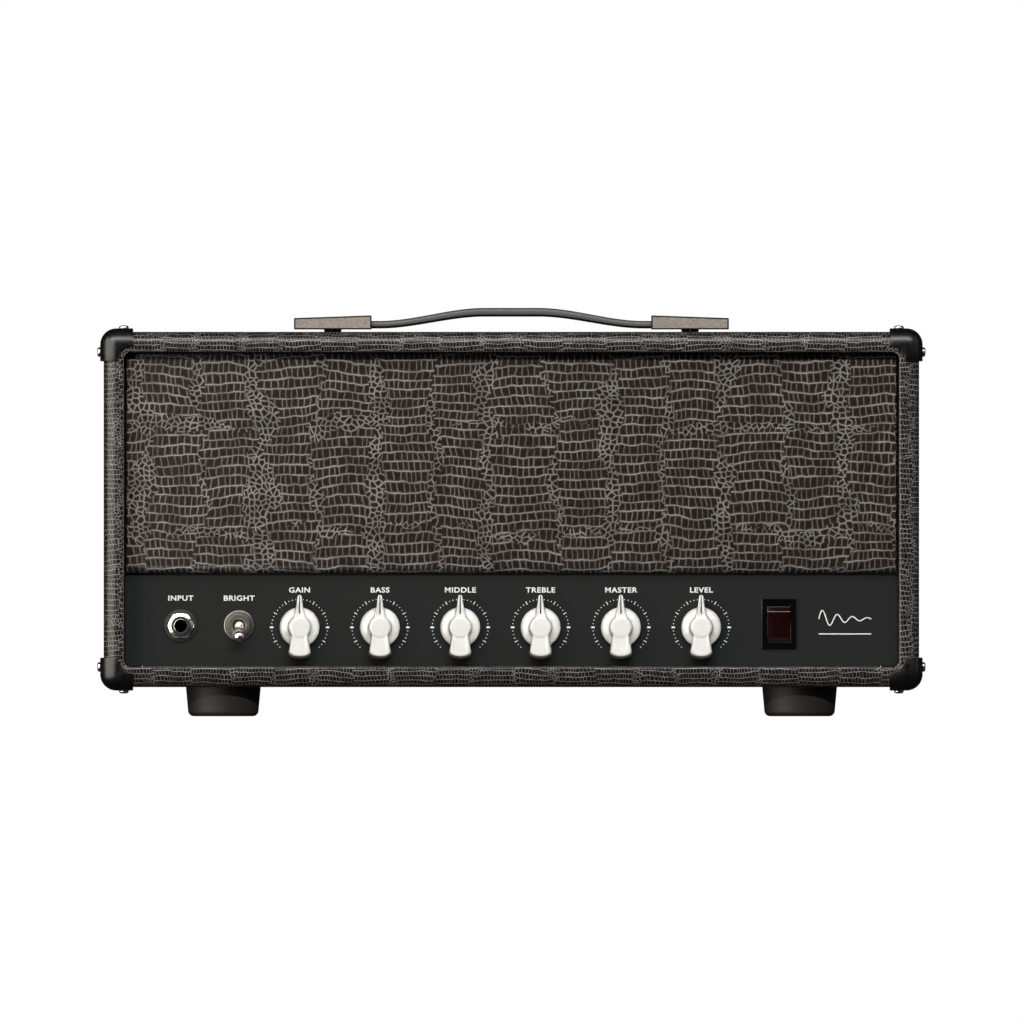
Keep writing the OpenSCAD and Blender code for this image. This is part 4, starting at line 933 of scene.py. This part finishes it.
class AMP_OT_knobs(bpy.types.Operator):
    """Mould the six pointer knobs, with a painted line along each pointer"""
    bl_idname = "amp.knobs"
    bl_label = "Knobs"

    def execute(self, context):
        low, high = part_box("gain_knob")
        axis = JOINT_AT["gain_turn"]
        full, skirt_r = high.y - low.y, 10.3 * MM
        tip, tail = high.z - axis.z, axis.z - low.z
        hub_r, cavity_r, cavity_h, bore_r, bore_h = (v * MM for v in (6, 8, 4.6, 3.2, 14))
        bm = bmesh.new()
        profile = [(bore_r, cavity_h), (cavity_r, cavity_h), (cavity_r, 0), (skirt_r - 0.3 * MM, 0),
                   (skirt_r, 0.4 * MM), (skirt_r, 3.6 * MM)]
        profile += [(skirt_r - drop * MM, height * MM) for drop, height in
                    ((0.25, 4.4), (0.9, 5.2), (2.0, 5.9), (3.3, 6.4), (4.1, 6.9))]
        profile += [(hub_r, 8 * MM), (hub_r - 0.2 * MM, 14.4 * MM), (hub_r - 0.7 * MM, 15.6 * MM),
                    (hub_r - 1.6 * MM, full), (0, full), (0, bore_h), (bore_r, bore_h)]
        revolve(bm, profile, steps=64, closed=True)
        # The grip in plan: a narrow pointer upwards and a wide tail with a round end
        tail_half, tail_round = 5.9 * MM, 2.8 * MM
        plan = [(-4.6 * MM, 0), (-4.4 * MM, -4.1 * MM)]
        plan += [(-tail_half * math.cos(t), -(tail - tail_round) - tail_round * math.sin(t))
                 for t in (math.pi / 12 * i for i in range(13))]
        beak = [(1.95 * MM, skirt_r), (1.1 * MM, tip - 0.5 * MM), (0.6 * MM, tip)]
        plan += [(4.4 * MM, -4.1 * MM), (4.6 * MM, 0), *beak]
        plan += [(-x, y) for x, y in reversed(beak)]
        rings = []
        for height, side, end in ((0.0, 1, 1), (0.55, 0.985, 0.975), (0.86, 0.96, 0.945),
                                  (0.95, 0.92, 0.92), (1.0, 0.8, 0.885)):
            rings.append([(x * side, y * (end if y < -5 * MM else 1), knob_top(y, full) * height)
                          for x, y in plan])
        loft(bm, rings)
        grip = new_piece("knob_blank", bm, "ivory")
        cut = bmesh.new()
        revolve(cut, [(0, -MM), (cavity_r, -MM), (cavity_r, cavity_h), (bore_r, cavity_h),
                      (bore_r, bore_h), (0, bore_h)], steps=48)
        cutter = new_piece("knob_bore", cut, "ivory")
        for kind, values in (("REMESH", {"mode": "VOXEL", "voxel_size": 0.3 * MM}),
                             ("SMOOTH", {"factor": 0.5, "iterations": 4}),
                             ("DECIMATE", {"ratio": 0.28}),
                             ("BOOLEAN", {"object": cutter, "operation": "DIFFERENCE",
                                          "solver": "EXACT"})):
            add_modifier(grip, kind, values)
        settle(grip)
        bpy.data.objects.remove(cutter)
        for name in KNOBS:
            at = JOINT_AT[name + "_turn"]
            place = facing_front(at.x, high.y, at.z)
            bm = copy_of(grip.data)
            bm.transform(place)
            dress(new_piece(name + "_pointer_knob", bm, "ivory", 50), name + "_knob")
            line = bmesh.new()
            start, end, sunk, proud, steps = 7.1 * MM, tip - 0.35 * MM, 0.5 * MM, 0.03 * MM, 8
            rows = []
            for i in range(steps + 1):
                y = start + (end - start) * i / steps
                half, z = (0.36 - 0.1 * i / steps) * MM, knob_top(y, full)
                rows.append([(half, y, z - sunk), (half, y, z + proud),
                             (-half, y, z + proud), (-half, y, z - sunk)])
            loft(line, rows, place)
            bmesh.ops.recalc_face_normals(line, faces=line.faces)
            dress(new_piece(name + "_pointer_line", line, "line paint"), of=name + "_knob")
        bpy.data.objects.remove(grip)
        return {"FINISHED"}


def hexagon_nut(bm, across, height, bore, place):
    """A nut with two corners along its local X axis and its upper corners chamfered."""
    turns = [math.radians(5 * i) for i in range(72)]

    def ring(z, limit):
        radii = [min(limit, across / 2 / math.cos(t % (math.pi / 3) - math.pi / 6)) for t in turns]
        return [bm.verts.new(place @ Vector((r * math.cos(t), r * math.sin(t), z)))
                for r, t in zip(radii, turns)]
    crown, slope, fall = 0.985 * across / 2, math.tan(math.radians(60)), 0.4 * MM
    rings = [ring(0.3 * MM, bore), ring(0, bore + 0.3 * MM), ring(0, across)]
    rings += [ring(height - fall - drop * MM, crown + slope * drop * MM)
              for drop in (0.55, 0.35, 0.15, 0)]
    rings += [ring(height, bore + 0.15 * MM), ring(height - 0.15 * MM, bore)]
    for near, far in zip(rings, rings[1:] + rings[:1]):
        skin(bm, near, far)


def half_travel(name):
    """The turn that takes a switch from its middle position to its first one."""
    joint = next(joint for joint in frame["joints"] if joint["name"] == name)
    return Matrix.Rotation(math.radians(max(joint["range_deg"]) / 2), 4, "X")


def outward(low, high):
    """The outward-facing frame at the seat of a fitting on the front or rear panel."""
    x, z = (low.x + high.x) / 2, (low.z + high.z) / 2
    return facing_front(x, high.y, z) if low.y < 0 else facing_back(x, low.y, z)


class AMP_OT_jacks(bpy.types.Operator):
    """Fit the jacks' washers, hexagon nuts and plated bushings"""
    bl_idname = "amp.jacks"
    bl_label = "Jacks"

    def execute(self, context):
        nuts, washers, sleeves = bmesh.new(), bmesh.new(), bmesh.new()
        bushing_r, bore_r, out_h = 4.8 * MM, 3.3 * MM, 4.5 * MM
        for low, high in solids_of("jack_nuts"):
            hexagon_nut(nuts, high.z - low.z, high.y - low.y, bushing_r, outward(low, high))
        for low, high in solids_of("jack_washers"):
            place, radius, height = outward(low, high), (high.x - low.x) / 2, high.y - low.y
            profile = [(bushing_r, 0), (radius - 0.15 * MM, 0), (radius, 0.25 * MM)]
            profile += arc((radius - 0.5 * MM, height - 0.5 * MM), 0.5 * MM, 0, 90, 4)
            revolve(washers, profile + [(bushing_r, height)], place, 72, closed=True)
            sleeve = [(bore_r - 0.1 * MM, 0), (bushing_r - 0.03 * MM, 0)]
            sleeve += [(bushing_r - 0.03 * MM, out_h - 0.4 * MM), (bore_r + 0.05 * MM, out_h)]
            sleeve += [(bore_r - 0.1 * MM, out_h - 0.3 * MM)]
            revolve(sleeves, sleeve, place, 64, closed=True)
        dress(new_piece("jack_hexagon_nuts", nuts, "nickel", 25), "jack_nuts")
        dress(new_piece("jack_fibre_washers", washers, "fibre"), "jack_washers")
        dress(new_piece("jack_bushings", sleeves, "nickel"), of="jack_nuts")
        soften("jack_sockets", "dull plastic", 0.3 * MM)
        return {"FINISHED"}


class AMP_OT_toggle(bpy.types.Operator):
    """Fit the bright switch's dress ring, bushing and bat lever"""
    bl_idname = "amp.toggle"
    bl_label = "Bright switch"

    def execute(self, context):
        low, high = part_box("bright_switch_nut")
        place, radius, height = outward(low, high), (high.x - low.x) / 2, high.y - low.y
        bore = 5.85 * MM
        ring = bmesh.new()
        profile = [(bore, 0), (radius - 0.2 * MM, 0), (radius, 0.2 * MM),
                   (radius, height - 0.75 * MM)]
        profile += arc((radius - 0.45 * MM, height - 0.75 * MM), 0.45 * MM, 15, 90, 4)
        profile += [(bore + 0.75 * MM, height - 0.3 * MM), (bore + 0.6 * MM, height - 0.02 * MM),
                    (bore + 0.15 * MM, height), (bore, height - 0.2 * MM)]
        revolve(ring, profile, place, 96, closed=True)
        dress(new_piece("bright_dress_ring", ring, "satin nickel", 25), "bright_switch_nut")
        soften("bright_switch_body", "satin nickel", 0.3 * MM)

        pivot = JOINT_AT["bright_flip"]
        ball, root, tip, reach, tail = (v * MM for v in (3.3, 1.5, 2.95, 17.2, 5.5))
        neck = math.degrees(math.acos(root / ball))
        profile = [(0, -tail), (1.0 * MM, -tail), (1.2 * MM, -tail + 0.2 * MM)]
        profile += arc((0, 0), ball, -68, neck, 16)
        profile += [(root, 4.2 * MM), (root + 0.15 * MM, 6 * MM), (tip - 0.25 * MM, 13.5 * MM),
                    (tip - 0.04 * MM, 16 * MM)]
        profile += arc((0, reach), tip, 0, 90, 10)
        profile[-1] = (0, profile[-1][1])
        lever = bmesh.new()
        revolve(lever, profile, facing_front(*pivot) @ half_travel("bright_flip"), 48)
        dress(new_piece("bright_bat_lever", lever, "nickel", 45), "bright_switch_lever")
        return {"FINISHED"}


class AMP_OT_power(bpy.types.Operator):
    """Round the edges of the power switch, the mains inlet and its fuse drawer"""
    bl_idname = "amp.power"
    bl_label = "Power switch and inlet"

    def execute(self, context):
        soften("power_switch_housing", "gloss plastic", 0.55 * MM, 3)
        self.rocker()
        soften("mains_inlet", "dull plastic", 0.4 * MM)
        soften("fuse_drawer", "gloss plastic", 0.25 * MM)
        return {"FINISHED"}

    @staticmethod
    def rocker():
        """Mould the rocker about its pin: two faces that fall to a crease, and cut-back ends."""
        low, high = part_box("power_switch_rocker")
        half_w, pin_r = 5.95 * MM, 1.2 * MM
        # Half of the side in millimetres: the crease, the brow and its chamfer, the end, the heel
        side = [(0, 2.2), (6.5, 2.93), (7.0, 2.6), (9.1, 2.2), (9.38, 0), (7.2, -6)]
        outline = [(y * MM, z * MM) for y, z in side + [(-y, z) for y, z in side[:0:-1]]]
        place = facing_front(*JOINT_AT["power_rock"]) @ half_travel("power_rock")
        bm = bmesh.new()
        loft(bm, [[(x, y, z) for y, z in outline] for x in (-half_w, half_w)], place)
        bmesh.ops.recalc_face_normals(bm, faces=bm.faces)
        body = new_piece("rocker_moulding", bm, "red plastic", BEVEL=rounding(0.15 * MM, 2, 20))
        dress(body, "power_switch_rocker")
        across = place @ Matrix.Rotation(math.pi / 2, 4, "Y")
        bm, reach = bmesh.new(), (high.x - low.x) / 2
        revolve(bm, [(0, -reach), (pin_r, -reach), (pin_r, reach), (0, reach)], across, 24)
        dress(new_piece("rocker_pin", bm, "red plastic"), of="power_switch_rocker")


class AMP_OT_plates(bpy.types.Operator):
    """Round the edges of the control, rear and back panels and of the vent grille"""
    bl_idname = "amp.plates"
    bl_label = "Panels"

    def execute(self, context):
        for node, look, width, steps in (("control_panel", "powder", 0.3, 2),
                                         ("rear_panel", "powder", 0.2, 2),
                                         ("back_panel", "fibreboard", 0.6, 3),
                                         ("vent_grille", "enamel", 0.2, 2)):
            soften(node, look, width * MM, steps)
        return {"FINISHED"}


def dial_tree():
    """Marks round each point: short ones, a long one each fourth, and the two level ones bold."""
    tree, given = repeat_tree(
        "Dial marks", Count="Int", Radius="Float", First="Float", Step="Float", Long="Float",
        Short="Float", Width="Float", Thickness="Float", Finish="Material")
    maths = partial(math_node, tree)
    every, first_long, bolder, nearly_level, half_diagonal = 4.0, 2.0, 1.4, 0.02, 0.7071
    index = add_node(tree, "GeometryNodeInputIndex")
    angle = maths("MULTIPLY_ADD", index, given["Step"], given["First"])
    cosine = maths("COSINE", angle)
    way = add_node(tree, "ShaderNodeCombineXYZ", {"X": maths("SINE", angle), "Z": cosine})
    dots = add_node(tree, "GeometryNodePoints", {"Count": given["Count"], "Position": scaled(
        tree, way, given["Radius"])})
    major = maths("COMPARE", maths("FLOORED_MODULO", index, every), first_long, 0.1)
    tall = remap(tree, major, 0.0, 1.0, given["Short"], given["Long"])
    level = maths("LESS_THAN", maths("ABSOLUTE", cosine), nearly_level)
    broad = maths("MULTIPLY", given["Width"], maths("MULTIPLY_ADD", level, bolder, 1.0))
    size = add_node(tree, "ShaderNodeCombineXYZ", {"X": broad, "Y": given["Thickness"], "Z": tall})
    turn = add_node(tree, "ShaderNodeCombineXYZ", {"Y": angle})
    stroke = add_node(tree, "GeometryNodeMeshCylinder", {
        "Vertices": 4, "Radius": half_diagonal, "Depth": 1.0})
    square = add_node(tree, "GeometryNodeTransform", {"Geometry": stroke,
                      "Rotation": (0.0, 0.0, math.pi / 4)})
    ring = add_node(tree, "GeometryNodeInstanceOnPoints", {
        "Points": dots, "Instance": square,
        "Rotation": add_node(tree, "FunctionNodeEulerToRotation", {"Euler": turn}), "Scale": size})
    dials = add_node(tree, "GeometryNodeInstanceOnPoints", {"Points": given["Geometry"],
                                                           "Instance": ring})
    close_tree(tree, dials, given["Finish"])
    return tree


def lettering(words, place, height):
    """The mesh of a line of capitals, centred on a local frame's origin."""
    letters = bpy.data.curves.new(words, "FONT")
    letters.body, letters.align_x, letters.align_y = words, "CENTER", "CENTER"
    capital, boldness, stretch = 0.7, 0.035, 1.16
    letters.size, letters.extrude, letters.offset = height / capital, 0.02 * MM, boldness * height
    letters.space_character, letters.resolution_u = 1.1, 4
    holder = add_object(words, letters)
    mesh = bpy.data.meshes.new_from_object(
        holder.evaluated_get(bpy.context.evaluated_depsgraph_get()))
    bpy.data.objects.remove(holder)
    mesh.transform(place @ Matrix.Diagonal((stretch, 1, 1, 1)))
    return mesh


class AMP_OT_legends(bpy.types.Operator):
    """Screen-print the dials, the plain control names, the jack numbers and the wave mark"""
    bl_idname = "amp.legends"
    bl_label = "Legends"

    def execute(self, context):
        face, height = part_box("control_panel")[0].y, sizes().legend_height
        lift, knob_rise, jack_rise = 0.03 * MM, 19.1 * MM, 14.1 * MM
        points = bpy.data.meshes.new("dial_points")
        points.from_pydata([(JOINT_AT[name + "_turn"].x, face - lift, JOINT_AT[name + "_turn"].z)
                            for name in KNOBS], [], [])
        marks = run_tree("dial_marks", points, dial_tree(), {
            "Count": sizes().dial_count, "Radius": sizes().dial_radius,
            "First": math.radians(-135), "Step": math.radians(270 / (sizes().dial_count - 1)),
            "Long": sizes().dial_mark, "Short": 0.52 * MM, "Width": 0.38 * MM,
            "Thickness": 0.04 * MM, "Finish": finish("ink")})
        dress(marks, of="control_panel")

        front, rear = bmesh.new(), bmesh.new()
        jack = outward(*min(solids_of("jack_washers"), key=lambda box: box[0].y)).translation
        toggle = JOINT_AT["bright_flip"]
        names = [(name.upper(), JOINT_AT[name + "_turn"].x, JOINT_AT[name + "_turn"].z + knob_rise)
                 for name in KNOBS]
        names += [("INPUT", jack.x, jack.z + jack_rise), ("BRIGHT", toggle.x, jack.z + jack_rise)]
        for words, x, z in names:
            front.from_mesh(lettering(words, facing_front(x, face - lift, z), height))
        back_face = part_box("rear_panel")[1].y
        outputs = sorted(((low + high) / 2 for low, high in solids_of("jack_washers")
                          if low.y > 0), key=lambda at: at.x)
        for words, at in zip(("16", "8", "4"), outputs):
            place = facing_back(at.x, back_face + lift, at.z + jack_rise)
            rear.from_mesh(lettering(words, place, height))
        self.wave(front, face - lift)
        dress(new_piece("front_legends", front, "ink"), of="control_panel")
        dress(new_piece("rear_legends", rear, "ink"), of="rear_panel")
        return {"FINISHED"}

    @staticmethod
    def wave(bm, y):
        """A dying wave over a short rule, at the right of the control panel."""
        place = facing_front(171.8 * MM, y, 48.6 * MM)
        half, thick = 0.28 * MM, 0.02 * MM
        wide, tallest, decay, waves, steps = 27, 5.2, 2.2, 3.5, 96
        path = []
        for x in (i / steps for i in range(steps + 1)):
            swing = tallest * math.exp(-decay * x) * math.sin(2 * math.pi * waves * x)
            path.append(Vector(((x - 0.5) * wide * MM, (swing + 1.5) * MM)))
        rule = [Vector((x * MM, -6.2 * MM)) for x in (-wide / 2, wide / 2)]
        for line in (path, rule):
            rows = []
            for i, point in enumerate(line):
                ahead = line[min(i + 1, len(line) - 1)] - line[max(i - 1, 0)]
                side = Vector((-ahead.y, ahead.x)).normalized() * half
                left, right = point + side, point - side
                rows.append([(*right, -thick), (*right, thick), (*left, thick), (*left, -thick)])
            loft(bm, rows, place)
        bmesh.ops.recalc_face_normals(bm, faces=bm.faces)


# The finish of every CAD node that is left showing, by its name or by its material slot
# The panel battens are matt black, a painted shade for the gaps round the front panel where they show
NODE_FINISH = {"panel_battens": "fibreboard"}
SLOT_FINISH = {
    "plywood": "plywood", "black_metal": "enamel", "screw_steel": "nickel",
    "steel": "sheet steel", "board_green": "solder mask", "component_film": "film capacitor",
    "standoff_brass": "brass", "core_steel": "laminations", "winding": "copper wire",
    "capacitor_can": "capacitor sleeve", "ceramic": "ceramic", "clear_glass": "glass",
    "anode_grey": "anode",
}


class AMP_OT_frame_finishes(bpy.types.Operator):
    """Give every CAD node that still shows the finish of its own material"""
    bl_idname = "amp.frame_finishes"
    bl_label = "Frame finishes"

    def execute(self, context):
        for name, node in frame["nodes"].items():
            if not node.hide_render:
                look = finish(NODE_FINISH.get(name) or SLOT_FINISH[SLOT_OF[name]])
                for holder in node.material_slots:
                    holder.material = look
        return {"FINISHED"}


class AMP_OT_stage(bpy.types.Operator):
    """Set out the pale floor, the soft lights and the level front camera"""
    bl_idname = "amp.stage"
    bl_label = "Stage"

    def execute(self, context):
        scene = context.scene
        bm = bmesh.new()
        bmesh.ops.create_grid(bm, x_segments=2, y_segments=2, size=8)
        mesh = bpy.data.meshes.new("floor")
        bm.to_mesh(mesh)
        bm.free()
        mesh.materials.append(grained("Pale paper floor", "dcdad6", 40 * MM, 0.8, swing=0.01))
        floor = add_object("floor", mesh)
        floor.visible_diffuse = floor.visible_glossy = floor.visible_shadow = False

        middle, white, warm = Vector((0, 0, 0.12)), (1, 1, 1), (1, 0.93, 0.84)
        # Each light: its power, size and place, and whether it lights, reflects or does both
        for name, power, size, place, lights, reflects, tone in (
                ("key", 50, (1.2, 0.06), (0, -2.2, 0.84), True, False, white),
                ("left_wall", 68, (2.14, 2.0), (-1.44, -1.08, 0.42), False, True, warm),
                ("top_card", 22, (2.4, 0.9), (0, -1.15, 1.2), False, True, white),
                ("top_strip", 20, (2.4, 0.2), (0, -1.25, 1.3), False, True, white),
                ("right_card", 2.0, (1.4, 1.4), (1.35, -1.0, 0.72), False, True, warm),
                ("right_strip", 1.0, (0.12, 1.3), (1.5, -0.22, 0.66), False, True, white),
                ("overhead", 4, (1.6, 0.9), (0, 0.75, 1.6), True, False, white),
                ("left_side", 14, (1.2, 1.0), (-1.6, 1.5, 0.6), True, False, white),
                ("right_side", 14, (1.2, 1.0), (1.6, 1.5, 0.6), True, False, white),
                ("back", 30, (1.8, 1.0), (0.3, 1.9, 0.8), True, False, white)):
            light = bpy.data.lights.new(name, "AREA")
            light.shape, light.energy = "RECTANGLE", power
            light.size, light.size_y = size
            light.color = tone
            lamp = add_object(name, light)
            lamp.location = place
            lamp.rotation_euler = (middle - lamp.location).to_track_quat("-Z", "Y").to_euler()
            lamp.visible_diffuse, lamp.visible_glossy = lights, reflects

        world = bpy.data.worlds.new("Studio")
        world.use_nodes = True
        scene.world = world
        tree = world.node_tree
        tree.nodes.clear()
        seen = add_node(tree, "ShaderNodeLightPath").outputs["Is Camera Ray"]
        dim, bright = (add_node(tree, "ShaderNodeBackground", {"Color": rgba(white),
                                                              "Strength": strength})
                       for strength in (0.03, 1.0))
        sky = add_node(tree, "ShaderNodeMixShader", {0: seen, 1: dim, 2: bright})
        add_node(tree, "ShaderNodeOutputWorld", {"Surface": sky})

        camera = bpy.data.cameras.new("camera")
        camera.type = "ORTHO"
        camera.ortho_scale = 0.5274
        eye = add_object("camera", camera)
        eye.location = (0.0003, -2.0, 0.1052)
        eye.rotation_euler = (math.pi / 2, 0, 0)
        scene.camera = eye
        scene.view_settings.view_transform = "Standard"
        return {"FINISHED"}


OPERATORS = (AMP_OT_stage, AMP_OT_cabinet, AMP_OT_panel_cover, AMP_OT_corners, AMP_OT_screws,
             AMP_OT_feet, AMP_OT_handle, AMP_OT_knobs, AMP_OT_jacks, AMP_OT_toggle, AMP_OT_power,
             AMP_OT_plates, AMP_OT_legends, AMP_OT_frame_finishes)


class AMP_PT_panel(bpy.types.Panel):
    """Sizes, colours and pieces of the amplifier head"""
    bl_idname = "AMP_PT_panel"
    bl_label = "Amp head"
    bl_space_type = "VIEW_3D"
    bl_region_type = "UI"
    bl_category = "Amp head"

    def draw(self, context):
        for group in (context.scene.amp_sizes, context.scene.amp_colours):
            box = self.layout.box()
            for name in group.bl_rna.properties.keys():
                if name not in ("rna_type", "name"):
                    box.prop(group, name)
        for operator in OPERATORS:
            self.layout.operator(operator.bl_idname)


CLASSES = (AmpSizes, AmpColours, *OPERATORS, AMP_PT_panel)


def register():
    for cls in CLASSES:
        bpy.utils.register_class(cls)
    bpy.types.Scene.amp_sizes = PointerProperty(type=AmpSizes)
    bpy.types.Scene.amp_colours = PointerProperty(type=AmpColours)


def unregister():
    del bpy.types.Scene.amp_sizes
    del bpy.types.Scene.amp_colours
    for cls in reversed(CLASSES):
        bpy.utils.unregister_class(cls)


def main():
    register()
    for operator in OPERATORS:
        group, name = operator.bl_idname.split(".")
        getattr(getattr(bpy.ops, group), name)()


if __name__ == "__main__":
    main()
